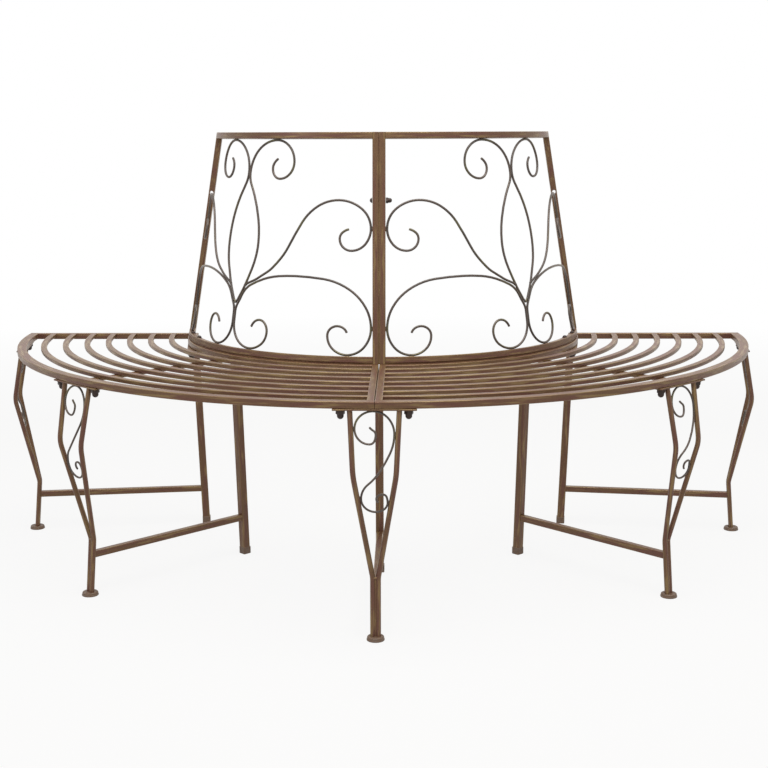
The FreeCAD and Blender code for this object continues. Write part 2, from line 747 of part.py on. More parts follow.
for item in doc.Objects:
    faults = {"Invalid", "Error"} & set(item.State)
    if faults:
        raise RuntimeError(f"{item.Name} is {', '.join(faults)}")
for item in pieces:
    if item.Shape.isNull() or not item.Shape.isValid() or not item.Shape.Solids:
        raise RuntimeError(f"{item.Label} has no valid solid")

os.makedirs("parts", exist_ok=True)
for item in pieces:
    item.Shape.exportStep(f"parts/{item.Label}.step")
print(f"{len(pieces)} sub-parts")
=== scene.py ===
"""The looks of a half-round tree bench: bent and welded steel in an antique bronze powder coat."""

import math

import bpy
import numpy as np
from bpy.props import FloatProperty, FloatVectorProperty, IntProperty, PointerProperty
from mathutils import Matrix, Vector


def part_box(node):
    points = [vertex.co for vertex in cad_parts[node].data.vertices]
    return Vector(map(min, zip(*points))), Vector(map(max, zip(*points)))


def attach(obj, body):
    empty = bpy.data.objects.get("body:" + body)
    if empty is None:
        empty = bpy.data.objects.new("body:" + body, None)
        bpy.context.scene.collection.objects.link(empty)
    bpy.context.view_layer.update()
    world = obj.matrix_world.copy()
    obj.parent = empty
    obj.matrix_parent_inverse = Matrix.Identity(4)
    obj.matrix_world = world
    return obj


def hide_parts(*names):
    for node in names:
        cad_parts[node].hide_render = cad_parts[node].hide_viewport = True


bl_info = {
    "name": "Half-round tree bench",
    "version": (1, 0, 0),
    "blender": (4, 5, 0),
    "location": "View3D > Sidebar > Tree bench",
    "description": "Builds the visible surfaces of a half-round steel tree bench round its CAD frame",
    "category": "Add Mesh",
}

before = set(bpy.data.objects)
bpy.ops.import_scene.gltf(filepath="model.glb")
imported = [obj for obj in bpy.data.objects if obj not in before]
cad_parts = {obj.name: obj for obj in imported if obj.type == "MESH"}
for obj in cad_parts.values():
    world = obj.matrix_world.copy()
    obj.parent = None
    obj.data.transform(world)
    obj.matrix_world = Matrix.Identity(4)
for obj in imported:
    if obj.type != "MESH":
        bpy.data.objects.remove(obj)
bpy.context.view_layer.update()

MM = 0.001
BODY = "root"
SIDES = ("right", "left")
LEGS = ("left_back_leg", "left_front_leg", "centre_leg", "right_front_leg", "right_back_leg")
RIM_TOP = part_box("right_outer_rim")[1]
INNER_RIM_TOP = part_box("right_inner_rim")[1]
POST_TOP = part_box("right_end_post")[1]

# How finely curves are drawn: the largest turn between two rings of a bar bent round the tree, and of a
# bent rod, the steps of a tube's rounded corner and of a rounded end, and the sides of round things.
RING_STEP = math.radians(1.5)
ARC_STEP = math.radians(6)
CORNER_STEPS = 4
END_STEPS = 3
ROD_SIDES = 16
LEG_BAR_SIDES = 24
BEAD_SIDES = 12
TURNED_SIDES = 48
BOLT_SIDES = 32
# Edges are drawn sharp where faces turn by more than this, on turned pieces and on drilled tubes.
SHARP_TURNED = math.radians(28)
SHARP_DRILLED = math.radians(40)
# How far the edges of a tube's end are rounded, where it is welded on and where it shows.
WELDED_END = 0.4 * MM
OPEN_END = 0.8 * MM
# A weld bead on a rod, as shares of the rod's thickness, and the rounding of a bead's ends, as a share of
# the bead's: a little under half, so that a small flat is left.
BEAD_THICKNESS = 0.8
BEAD_LENGTH = 2
BEAD_END = 0.49
# The radius of a cap nut's dome, as a share of the nut's width across the flats.
NUT_DOME = 0.42
# A turned piece ends in a small flat of this radius, so that no two of its points fall together.
TIP = 0.2 * MM
# Nothing on the bench runs along this direction, so that a side direction can be made from it.
SLANTED = (0.31, 0.95, 0.03)
# The photograph's width in pixels, the width of the camera's sensor in mm, and its furthest view in m.
PHOTO_WIDTH = 768
SENSOR_WIDTH = 36
FURTHEST_VIEW = 200
# Where the two soft boxes stand, how wide they are, and the point that both face, in m.
TOP_BOX = (0.3, -1.2, 3.6)
TOP_BOX_SIZE = 3.0
LEFT_BOX = (-3.4, -2.6, 2.0)
LEFT_BOX_SIZE = 2.0
LIT_POINT = (0, -0.4, 0.4)
# The way in which a soft box's upper edge lies.
LAMP_TOP = (0, 1, 0.01)

# The scrollwork of a back panel, on the panel's clear opening laid flat: (percent of the way from the
# scrollwork's axis to a post, percent of the way up, heading in degrees), where heading 0 points to the
# post and 90 points up. Rods at either end of a scale touch each other, a post or a rail.
UPPER_ROD = [
    (27.6, 91.2, 212), (23.2, 86.8, 270), (30.5, 81.7, 0), (42, 89.3, 90), (25.5, 100, 180),
    (0, 84.3, 270), (7.5, 73.1, 297), (15.9, 51, 270), (12.2, 38.2, 247), (6, 28.5, 242),
    (0.9, 22.1, 243),
]
MIDDLE_ROD = [
    (6.5, 30, 28), (20, 34.6, 32), (30.5, 39.5, 43), (42, 49.7, 62), (51.5, 61.5, 58), (77.8, 72.1, 0),
    (100, 58.8, 270), (87, 48.6, 180), (79, 54.2, 90), (85.3, 58.6, 12),
]
LOWER_ROD_SCROLL = [
    (85, 10.3, 108), (79, 13.4, 180), (72.7, 9, 270), (85.2, 0, 0), (100, 12.4, 90),
    (86.6, 30.3, 146), (49, 36.1, 180), (23.6, 33.7, 198),
]
LOWER_ROD_STEM = [
    (0, 16.8, 270), (0, 12, 270), (16.5, 0, 0), (30, 8.6, 90), (23.4, 14.1, 180), (16.8, 10.4, 252),
]
# The lower rod runs beside this station of the upper rod, one rod's thickness away.
SHOULDER = (3.4, 25.3, 243)
# Where these rods are welded: a station, and the heading from there to what the rod touches.
UPPER_WELDS = [(25.5, 100, 0, 90), (0, 84.3, 90, 180), (0.9, 22.1, 62, 200)]
MIDDLE_WELDS = [(100, 58.8, 90, 0), (7.5, 30.5, 30, 270)]
LOWER_WELDS = [(100, 12.4, 90, 0), (85.2, 0, 0, 270), (16.5, 0, 0, 270), (0, 14.4, 90, 180)]

# The S-scroll of an outer leg: (percent of the way from the middle to a bar, percent of the way up from
# ankle to plate, heading in degrees), right and up being positive when seen from outside.
LEG_SCROLL = [
    (-26, 91.2, -50), (6, 86.9, -90), (-26, 81.7, 180), (-100, 90.3, 90), (-8, 100, 0),
    (100, 87.4, -90), (29, 66.5, -124), (-100, 50.4, -92), (8, 42, 0), (100, 47.9, 90),
    (55, 52.9, 180), (12, 50.1, 270), (30, 47.8, 325),
]

# The names of the finishes.
BAR_COAT = "hand_rubbed_bronze_powder_coat"
ROD_COAT = "hand_rubbed_bronze_powder_coat_on_rod"
PLATING = "black_zinc_plating"
CAP_NYLON = "moulded_nylon"
FLOOR_PAPER = "matte_floor_paper"
# The bronze coat's patterns: the widths of the streaks in its ground and of the streaks of the rub, how
# many times longer than wide both are, the blots and the depth of its orange peel, and its grain. The
# grain is a tenth of a millimetre in life and is drawn coarser, so that it shows.
DRIFT_WIDTH = 9 * MM
RUB_WIDTH = 5 * MM
STREAK_STRETCH = 12
PEEL_SIZE = 2.4 * MM
PEEL_DEPTH = 0.08 * MM
GRAIN_SIZE = 1.8 * MM
# The stains of a plain finish, and its grain, plated and moulded, with its depth. The grain is a tenth of
# a millimetre in life too, and is drawn coarser, so that it shows.
STAIN_SIZE = 9 * MM
PLATED_GRAIN = 0.9 * MM
MOULDED_GRAIN = 0.7 * MM
GRAIN_DEPTH = 0.05 * MM
# Each part of a piece takes the streaks this much further along, in m, so that no two look alike.
STREAK_SHIFT = 0.37


def linear(hex_colour):
    """An sRGB hex colour as linear light: v / 12.92 near black, else ((v + 0.055) / 1.055) ^ 2.4."""
    levels = [int(hex_colour[i:i + 2], 16) / 255 for i in (1, 3, 5)]
    return [v / 12.92 if v <= 0.04045 else ((v + 0.055) / 1.055) ** 2.4 for v in levels]


def length(name, description, millimetres):
    """A length property, its default given in mm."""
    return FloatProperty(
        name=name, description=description, default=millimetres * MM, unit="LENGTH", precision=4
    )


def angle(name, description, degrees):
    """An angle property, its default given in degrees."""
    return FloatProperty(name=name, description=description, default=math.radians(degrees), subtype="ANGLE")


def fraction(name, description, part):
    """A property from 0 to 1, a share of something else."""
    return FloatProperty(
        name=name, description=description, default=part, min=0, max=1, precision=4, subtype="FACTOR"
    )


def wattage(name, description, watts):
    """A lamp's power, its default given in watts."""
    return FloatProperty(name=name, description=description, default=watts, min=0, unit="POWER")


def colour(name, description, hex_colour):
    """A colour property, its default given as an sRGB hex value."""
    return FloatVectorProperty(
        name=name, description=description, default=linear(hex_colour), subtype="COLOR", min=0, max=1
    )


class TreeBenchSeat(bpy.types.PropertyGroup):
    """Sizes of the seat."""

    radius: length("Radius", "Outer face of the outer rim", RIM_TOP.x / MM)
    height: length("Height", "Top of the seat above the ground", RIM_TOP.z / MM)
    tree_radius: length("Tree radius", "Inner face of the inner rim", INNER_RIM_TOP.x / MM - 19)
    rim_width: length("Rim width", "Rim tube, across", 19)
    rim_depth: length("Rim depth", "Rim tube, upright", 12.7)
    tube: length("Tube", "Side of the square tube of rails, posts and stretchers", 12.7)
    seam_gap: length("Seam gap", "Gap between the two quarters at the front", 1.5)
    rim_joint: length("Rim joint", "Gap between the ends of the outer rims there", 0.3)
    slats: IntProperty(name="Slats", description="Bent slats in each quarter", default=7, min=1, max=12)
    slat_width: length("Slat width", "Slat, across", 12)
    slat_depth: length("Slat depth", "Slat, upright", 8)
    crossbar_width: length("Crossbar width", "Flat bar under the slats", 20)
    crossbar_corner: length("Crossbar corner", "Rounding of the long edges of that bar", 0.8)
    corner: length("Corner rounding", "Rounding of the long edges of tubes and slats", 1.6)
    sink: length("Sink", "How far a bar's end runs into the bar it is welded to", 1)


class TreeBenchBack(bpy.types.PropertyGroup):
    """Sizes of the backrest."""

    radius: length("Radius", "Outer face of a back panel at the seat", POST_TOP.x / MM)
    height: length("Height", "Height of a back panel above the seat", (POST_TOP.z - RIM_TOP.z) / MM)
    slope: length("Slope", "How far the panel's top lies inside its foot", 74)
    setback: length("Setback", "How far the panel's axis lies behind the seat's", 12)
    post_joint: length("Post joint", "Gap between the two centre posts", 0.1)
    strip_width: length("Strip width", "Strip in the wedge under the leaning bottom rail, across", 6)
    strip_depth: length("Strip depth", "That strip, upright", 2.4)
    strip_corner: length("Strip corner", "Rounding of its long edges", 0.4)
    strip_end: length("Strip end", "Rounding of its ends", 0.3)
    strip_inset: length("Strip inset", "From a panel's outer face to the strip's middle", 5)
    strip_rise: length("Strip rise", "The strip's middle above the seat", 0.7)
    rod: length("Rod", "Diameter of the scroll rods", 4.8)
    rod_end: length("Rod end", "Rounding of the ends of the scroll rods", 1.3)
    axis_shift: fraction(
        "Axis shift", "How much nearer the scrollwork's axis is to the end post, of half a panel", 0.04
    )
    hole: length("Join hole", "Bolt hole of an end post", 8.6)
    hole_rise: fraction("Hole rise", "Bolt holes, of the panel's height", 0.7047)
    head_flats: length("Head flats", "Across the flats of the bolt heads", 11)
    head_height: length("Head height", "Height of the bolt heads", 4.6)
    nut_height: length("Cap nut height", "Height of the cap nut on the centre bolt", 12)


class TreeBenchLegs(bpy.types.PropertyGroup):
    """Sizes of the legs."""

    back_angle: angle("Back leg", "Angle of the legs beside the open side", 8)
    front_angle: angle("Front leg", "Angle of the legs at the middle of each quarter", 45)
    bar: length("Bar", "Diameter of the two bars of an outer leg", 9.5)
    bar_end: length("Bar end", "Rounding of the ends of those bars", 0.5)
    knee_bend: length("Knee bend", "Bend radius of a bar at its knee", 60)
    ankle_bend: length("Ankle bend", "Bend radius of a bar at its ankle", 30)
    fill_depth: length("Weld fill", "Weld between the bars below the ankle, across the leg's plane", 3)
    fill_share: fraction("Weld fill's width", "That weld's width, of a bar's diameter", 0.72)
    fill_corner: length("Weld fill corner", "Rounding of that weld's long edges", 1.4)
    fill_end: length("Weld fill end", "Rounding of its ends", 1)
    crotch_thickness: length("Crotch bead thickness", "Weld bead where the bars part", 5)
    crotch_length: length("Crotch bead length", "Length of that bead", 9)
    crotch_share: fraction("Crotch bead's place", "Its middle outside the bars' middle, of a bar", 0.28)
    scroll_rod: length("Scroll rod", "Diameter of the rod of an outer leg's S-scroll", 3.8)
    scroll_end: length("Scroll end", "Rounding of that rod's ends", 1.2)
    top_inset: length("Top inset", "From the seat's outer face to the middle of a bar at its plate", 10)
    top_spread: length("Top spread", "Half the spacing of the bars at the plate", 42.9)
    knee_spread: length("Knee spread", "Half their spacing at the knee", 36.8)
    knee_height: length("Knee height", "Height of the knee's corner", 303)
    ankle_height: length("Ankle height", "Height at which the bars come together", 110)
    knee_reach: length("Knee reach", "Knee, out from the leg's top", 23.5)
    ankle_reach: length("Ankle reach", "Ankle, out from the leg's top", -15.5)
    foot_reach: length("Foot reach", "Foot, out from the leg's top", -5.5)
    plate_length: length("Plate length", "Plate under a rim, along the rim", 144)
    plate_thickness: length("Plate thickness", "Thickness of that plate", 3)
    plate_corner: length("Plate corner", "Rounding of its long edges", 0.7)
    plate_end: length("Plate end", "Rounding of its ends", 1.2)
    bolt_spacing: length("Bolt spacing", "Spacing of the bolts of an outer plate", 116)
    back_bolt_start: length("Back bolt", "From a back inner leg to the nearer bolt of its plate", 50)
    back_bolt_spacing: length("Back bolts", "Spacing of the bolts of that plate", 70)
    back_plate_start: length("Back plate", "How far that plate reaches behind the leg's middle", 10)
    nut_flats: length("Cap nut flats", "Across the flats of a cap nut", 14)
    nut_height: length("Cap nut height", "Height of a cap nut", 16)
    washer: length("Washer", "Thickness of the washer under a cap nut", 1.5)
    foot_cap: length("Foot cap", "Diameter of the round foot cap", 32)
    foot_cap_height: length("Foot cap height", "Height of that cap", 7.5)
    post: length("Inner leg", "Side of the square inner leg", 15.9)
    post_inset: length("Inner leg inset", "From the inner rim's inner face to the inner leg's middle", 3)
    post_slope: length("Inner leg slope", "How far the inner leg's foot lies inside its top", 14)
    post_cap: length("Inner cap", "Side of the cap under the inner leg", 18)
    post_cap_height: length("Inner cap height", "Height of that cap", 15)
    post_cap_corner: length("Inner cap corner", "Rounding of its upright edges", 2.2)
    post_cap_end: length("Inner cap edge", "Rounding of its edges above and below", 1)
    post_sink: length("Inner leg sink", "How far the inner leg runs into its cap", 2)
    stretcher_height: length("Stretcher height", "Middle of the stretcher above the ground", 80)


class TreeBenchFinish(bpy.types.PropertyGroup):
    """Colours of the finishes."""

    umber: colour("Umber", "The coat's warm brown ground", "#6c4f36")
    red_brown: colour("Red brown", "Redder streaks of the ground", "#684438")
    old_gold: colour("Old gold", "Bronze rubbed through along bars and edges", "#8a7249")
    rod_umber: colour("Rod umber", "The thin rods' greyer ground", "#5f544d")
    rod_grey: colour("Rod grey", "Darker stretches of the thin rods", "#4d4642")
    rod_olive: colour("Rod olive", "Bronze rubbed through on the thin rods", "#716d48")
    soot: colour("Soot", "Dark specks in the coat", "#3d2f29")
    black_zinc: colour("Black zinc", "Cap nuts and bolt heads", "#3a2f2b")
    cap_brown: colour("Cap brown", "Moulded foot caps", "#6f5b4c")
    paper: colour("Paper", "The floor", "#cfccc8")


class TreeBenchStage(bpy.types.PropertyGroup):
    """The floor, the light and the camera."""

    floor_size: length("Floor", "Side of the square floor", 40000)
    camera_right: length("Camera right", "Camera, right of the tree's axis", 56.6)
    camera_back: length("Camera distance", "Camera, in front of the tree's axis", 3034.7)
    camera_up: length("Camera height", "Camera above the ground", 874.6)
    yaw: angle("Yaw", "The camera's turn to the right", -1.03132)
    pitch: angle("Pitch", "The camera's tilt upward", -10.54242)
    roll: angle("Roll", "The camera's roll", -0.189076)
    focal_pixels: FloatProperty(
        name="Focal length", description="Focal length in pixels of the photograph", default=1354.756
    )
    sky: fraction("Sky", "Strength of the even light from all round", 0.28)
    top_light: wattage("Top light", "Power of the overhead soft box", 140)
    side_light: wattage("Side light", "Power of the soft box on the left", 20)


def unit(vectors):
    """Directions scaled to length one."""
    return vectors / np.linalg.norm(vectors, axis=-1, keepdims=True)


def lengths_along(points):
    """Distance from a line's first point to each of its points."""
    return np.concatenate([[0], np.cumsum(np.linalg.norm(np.diff(points, axis=0), axis=1))])


def rounded_outline(width, height, radius):
    """A rectangle with rounded corners: about each corner's own centre, r times (cos t, sin t).

    It gives the points, the ways they face, and how near each is to the middle of its corner, sin 2t.
    """
    turn = np.linspace(0, np.pi / 2, CORNER_STEPS + 1)
    quarters = np.arange(4)[:, None] * np.pi / 2
    around = (quarters + turn).ravel()
    facing = np.stack([np.cos(around), np.sin(around)], axis=1)
    middle = np.repeat(quarters + np.pi / 4, len(turn))
    signs = np.sign(np.stack([np.cos(middle), np.sin(middle)], axis=1))
    centres = signs * (np.array([width, height]) / 2 - radius)
    return centres + facing * radius, facing, np.tile(np.sin(2 * turn), 4)


def round_outline(diameter, sides):
    """A circle: d / 2 times (cos t, sin t). It has no corners."""
    around = np.arange(sides) * 2 * np.pi / sides
    facing = np.stack([np.cos(around), np.sin(around)], axis=1)
    return facing * diameter / 2, facing, np.zeros(sides)


def ring_faces(rows, columns):
    """Four-sided faces between rings of points, and a flat face that closes each end."""
    row, column = np.meshgrid(np.arange(rows - 1), np.arange(columns), indexing="ij")
    following = (column + 1) % columns
    corners = [row * columns + column, row * columns + following]
    corners += [(row + 1) * columns + following, (row + 1) * columns + column]
    quads = np.stack(corners, axis=-1).reshape(-1, 4).tolist()
    last = (rows - 1) * columns
    return quads + [list(range(columns - 1, -1, -1)), list(range(last, last + columns))]


def sweep(path, outline, rounding):
    """A bar: an outline carried along a path, with both end edges rounded.

    Point (i, j) is the path's point i, plus the outline's point j laid out on the path's side and up
    directions. Within the rounding e of an end, at the angle t, the outline is drawn in by e (1 - cos t)
    and lies e (1 - sin t) from the end, and it faces cos t outward and sin t along the bar.
    """
    points, sides, ups = path
    places, facings, corners = outline
    along = lengths_along(points)
    quarter = np.linspace(np.pi / 2, 0, END_STEPS + 1)
    near = rounding * (1 - np.sin(quarter))
    margin = rounding * 1.01
    inner = along[(along > margin) & (along < along[-1] - margin)]
    stations = np.concatenate([near, inner, along[-1] - near[::-1]])
    turn = np.concatenate([-quarter, np.zeros(len(inner)), quarter[::-1]])[:, None, None]

    def at_stations(values):
        """The path's values at the stations, each in line between its neighbours."""
        columns = [np.interp(stations, along, values[:, axis]) for axis in range(3)]
        return np.stack(columns, axis=1)[:, None]

    headings = unit(at_stations(np.gradient(points, along, axis=0)))
    side = unit(at_stations(sides))
    up = unit(at_stations(ups))
    flat = places - rounding * (1 - np.cos(turn)) * facings
    grid = at_stations(points) + flat[..., :1] * side + flat[..., 1:] * up
    outward = facings[:, :1] * side + facings[:, 1:] * up
    normals = np.cos(turn) * outward + np.sin(turn) * headings
    faces = ring_faces(*grid.shape[:2])
    if np.dot(np.cross(side[0, 0], up[0, 0]), headings[0, 0]) < 0:
        faces = [face[::-1] for face in faces]
    run = np.broadcast_to(stations[:, None, None], grid[..., :1].shape)
    spaces = np.concatenate([run, np.broadcast_to(flat, grid.shape[:2] + (2,))], axis=-1)
    edges = np.broadcast_to(corners, grid.shape[:2])
    return grid.reshape(-1, 3), faces, normals.reshape(-1, 3), spaces.reshape(-1, 3), edges.ravel()


def reflected(part):
    """A finished part on the other side of the seam: X changes its sign, and the faces turn round."""
    points, faces, normals, spaces, edges = part
    flip = np.array([-1, 1, 1])
    return points * flip, [face[::-1] for face in faces], normals * flip, spaces, edges


def turned(path, radians):
    """A path turned by the angle a about the tree's axis, from +X to the front.

    A point goes to (x cos a + y sin a, y cos a - x sin a, z).
    """
    cosine = math.cos(radians)
    sine = math.sin(radians)
    turn = np.array([[cosine, -sine, 0], [sine, cosine, 0], [0, 0, 1]])
    return tuple(values @ turn for values in path)


def ring_path(radius, height, ends, lean=0.0, centre_y=0.0):
    """An arc round the tree: (r cos a, c - r sin a, z), its section leaning inward by an angle."""
    count = math.ceil(abs(ends[1] - ends[0]) / RING_STEP) + 1
    around = np.linspace(*ends, count)
    outward = np.stack([np.cos(around), -np.sin(around), np.zeros(count)], axis=1)
    rise = np.array([0, 0, 1.0])
    sides = outward * math.cos(lean) + rise * math.sin(lean)
    ups = rise * math.cos(lean) - outward * math.sin(lean)
    return outward * radius + np.array([0, centre_y, height]), sides, ups


def straight_path(start, end, side):
    """A straight run from one point to another, with a side direction made square to it."""
    points = np.array([start, end], float)
    heading = unit(points[1] - points[0])
    side = unit(np.array(side, float) - heading * np.dot(side, heading))
    up = np.cross(heading, side)
    return points, np.tile(side, (2, 1)), np.tile(up, (2, 1))


def framed(points, outward):
    """A curved line's path: its side direction is square to the line and to the outward direction."""
    headings = unit(np.gradient(points, lengths_along(points), axis=0))
    sides = unit(np.cross(headings, outward))
    return points, sides, np.cross(sides, headings)


def arc(start, heading, end):
    """The circle that leaves a point along a heading h and ends at another point.

    With w square to h toward the centre and r the radius, it is start + r (1 - cos t) w + r sin t h.
    """
    chord = end - start
    across = np.cross(heading, chord)
    if np.linalg.norm(across) < 1e-6 * np.linalg.norm(chord):
        return np.array([start, end])
    half_turn = math.atan2(np.linalg.norm(across), np.dot(heading, chord))
    radius = np.linalg.norm(chord) / 2 / math.sin(half_turn)
    toward = unit(np.cross(across, heading))
    turn = np.linspace(0, 2 * half_turn, math.ceil(2 * half_turn / ARC_STEP) + 1)[:, None]
    return start + toward * radius * (1 - np.cos(turn)) + heading * radius * np.sin(turn)


def two_arcs(start, heading, end, end_heading):
    """Two arcs with a common tangent, from a start to an end along their headings.

    They meet halfway between start + d h and end - d k, where h and k are the headings and d is the
    distance at which these two points lie 2 d apart.
    """
    chord = end - start
    across = np.dot(chord, heading + end_heading)
    spread = 2 * (1 - np.dot(heading, end_heading))
    if spread < 1e-9:
        reach = np.dot(chord, chord) / (4 * np.dot(chord, heading))
    else:
        reach = (math.sqrt(across ** 2 + spread * np.dot(chord, chord)) - across) / spread
    meeting = (start + heading * reach + end - end_heading * reach) / 2
    ahead = arc(end, -end_heading, meeting)[::-1]
    return np.concatenate([arc(start, heading, meeting), ahead[1:]])


def through(stations):
    """A line through stations, each a point and a heading, by two tangent arcs between neighbours."""
    runs = [two_arcs(*start, *end)[1:] for start, end in zip(stations, stations[1:])]
    return np.concatenate([stations[0][0][None], *runs])


def rounded_line(corners, radii):
    """Straight runs through corners. A corner's arc touches both runs r / tan(half the corner) from it."""
    points = [corners[0][None]]
    for before, corner, after, radius in zip(corners, corners[1:], corners[2:], radii):
        leave = unit(before - corner)
        arrive = unit(after - corner)
        reach = radius / math.tan(math.acos(np.dot(leave, arrive)) / 2)
        points.append(arc(corner + leave * reach, -leave, corner + arrive * reach))
    return np.concatenate([*points, corners[-1][None]])


def bead(middle, heading, thickness, long):
    """A weld bead: a short bar whose ends are half round, laid along a heading."""
    reach = unit(np.array(heading, float)) * long / 2
    path = straight_path(middle - reach, middle + reach, SLANTED)
    return sweep(path, round_outline(thickness, BEAD_SIDES), thickness * BEAD_END)


def rod_bead(middle, heading, rod):
    """A weld bead of the size that suits a rod."""
    return bead(middle, heading, rod * BEAD_THICKNESS, rod * BEAD_LENGTH)


def add_piece(name, parts, material, nodes):
    """One object made of several closed parts, which stands for CAD nodes and rides on the frame.

    Its mesh carries what the coat needs: each point's place along and across its bar, and its edges.
    """
    vertices, faces, normals, spaces, edges = [], [], [], [], []
    count = 0
    for index, (points, part_faces, part_normals, part_spaces, part_edges) in enumerate(parts):
        vertices.append(points)
        faces += [[corner + count for corner in face] for face in part_faces]
        normals.append(part_normals)
        spaces.append(part_spaces + np.array([STREAK_SHIFT * index, 0, 0]))
        edges.append(part_edges)
        count += len(points)
    mesh = bpy.data.meshes.new(name)
    mesh.from_pydata(np.concatenate(vertices).tolist(), [], faces)
    mesh.shade_smooth()
    if normals[0] is None:
        mesh.set_sharp_from_angle(angle=SHARP_TURNED)
    else:
        mesh.normals_split_custom_set_from_vertices(np.concatenate(normals).tolist())
    space = mesh.attributes.new("bar_space", "FLOAT_VECTOR", "POINT")
    space.data.foreach_set("vector", np.concatenate(spaces).astype(np.float32).ravel())
    edge = mesh.attributes.new("edge", "FLOAT", "POINT")
    edge.data.foreach_set("value", np.concatenate(edges).astype(np.float32))
    mesh.materials.append(bpy.data.materials[material])
    piece = bpy.data.objects.new(name, mesh)
    bpy.context.scene.collection.objects.link(piece)
    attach(piece, BODY)
    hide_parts(*nodes)
    return piece


def add_coated(name, parts, nodes, material=BAR_COAT):
    """A piece in the bronze coat."""
    return add_piece(name, parts, material, nodes)


def add_both(label, stock, parts, material=BAR_COAT):
    """A coated piece on the right and its reflection on the left, each for its own side's CAD node.

    The label is the node's, and the stock, such as tube or rods, ends the piece's name.
    """
    for side in SIDES:
        node = f"{side}_{label}"
        own = [reflected(part) for part in parts] if side == "left" else parts
        add_coated(f"{node}_{stock}", own, [node], material)


def add_fastener(name, parts, node):
    """A piece of blackened bolts or nuts."""
    add_piece(name, parts, PLATING, [node])


def lathe(start, axis, profile, flats=None, round_rings=0, steps=TURNED_SIDES):
    """A turned solid: rings of radius r at heights h along an axis, some of them with six flat sides.

    Past the first round rings, a ring's point at the angle t is at the smaller of r and f / 2 / cos u,
    where f is the width across the flats and u the angle from t to the middle of the nearest flat.
    """
    axis = unit(np.array(axis, float))
    side = unit(np.cross(axis, SLANTED))
    up = np.cross(axis, side)
    radii, heights = np.array(profile, float).T
    around = np.arange(steps) * 2 * np.pi / steps
    reach = np.repeat(radii[:, None], steps, axis=1)
    if flats:
        from_flat = (around + np.pi / 6) % (np.pi / 3) - np.pi / 6
        hexagon = flats / 2 / np.cos(from_flat)
        reach[round_rings:] = np.minimum(reach[round_rings:], hexagon)
    spokes = np.cos(around)[:, None] * side + np.sin(around)[:, None] * up
    grid = np.array(start) + heights[:, None, None] * axis + reach[..., None] * spokes
    faces = ring_faces(*grid.shape[:2])
    points = grid.reshape(-1, 3)
    return points, faces, None, points, np.zeros(len(points))


def add_node(tree, kind, inputs=None, output=0, **settings):
    """Add a node and return one of its outputs.

    Settings are the node's own. Inputs are its sockets' values, or outputs of other nodes to link there.
    """
    node = tree.nodes.new(kind)
    for key, value in settings.items():
        setattr(node, key, value)
    for key, value in (inputs or {}).items():
        if isinstance(value, bpy.types.NodeSocket):
            tree.links.new(value, node.inputs[key])
        else:
            node.inputs[key].default_value = value
    return node.outputs[output]


def new_material(name):
    """An empty node material, with its tree and the surface socket of its output."""
    material = bpy.data.materials.new(name)
    material.use_nodes = True
    tree = material.node_tree
    tree.nodes.clear()
    return tree, tree.nodes.new("ShaderNodeOutputMaterial").inputs["Surface"]


def opaque(values):
    """A colour with full alpha."""
    return (*values, 1.0)


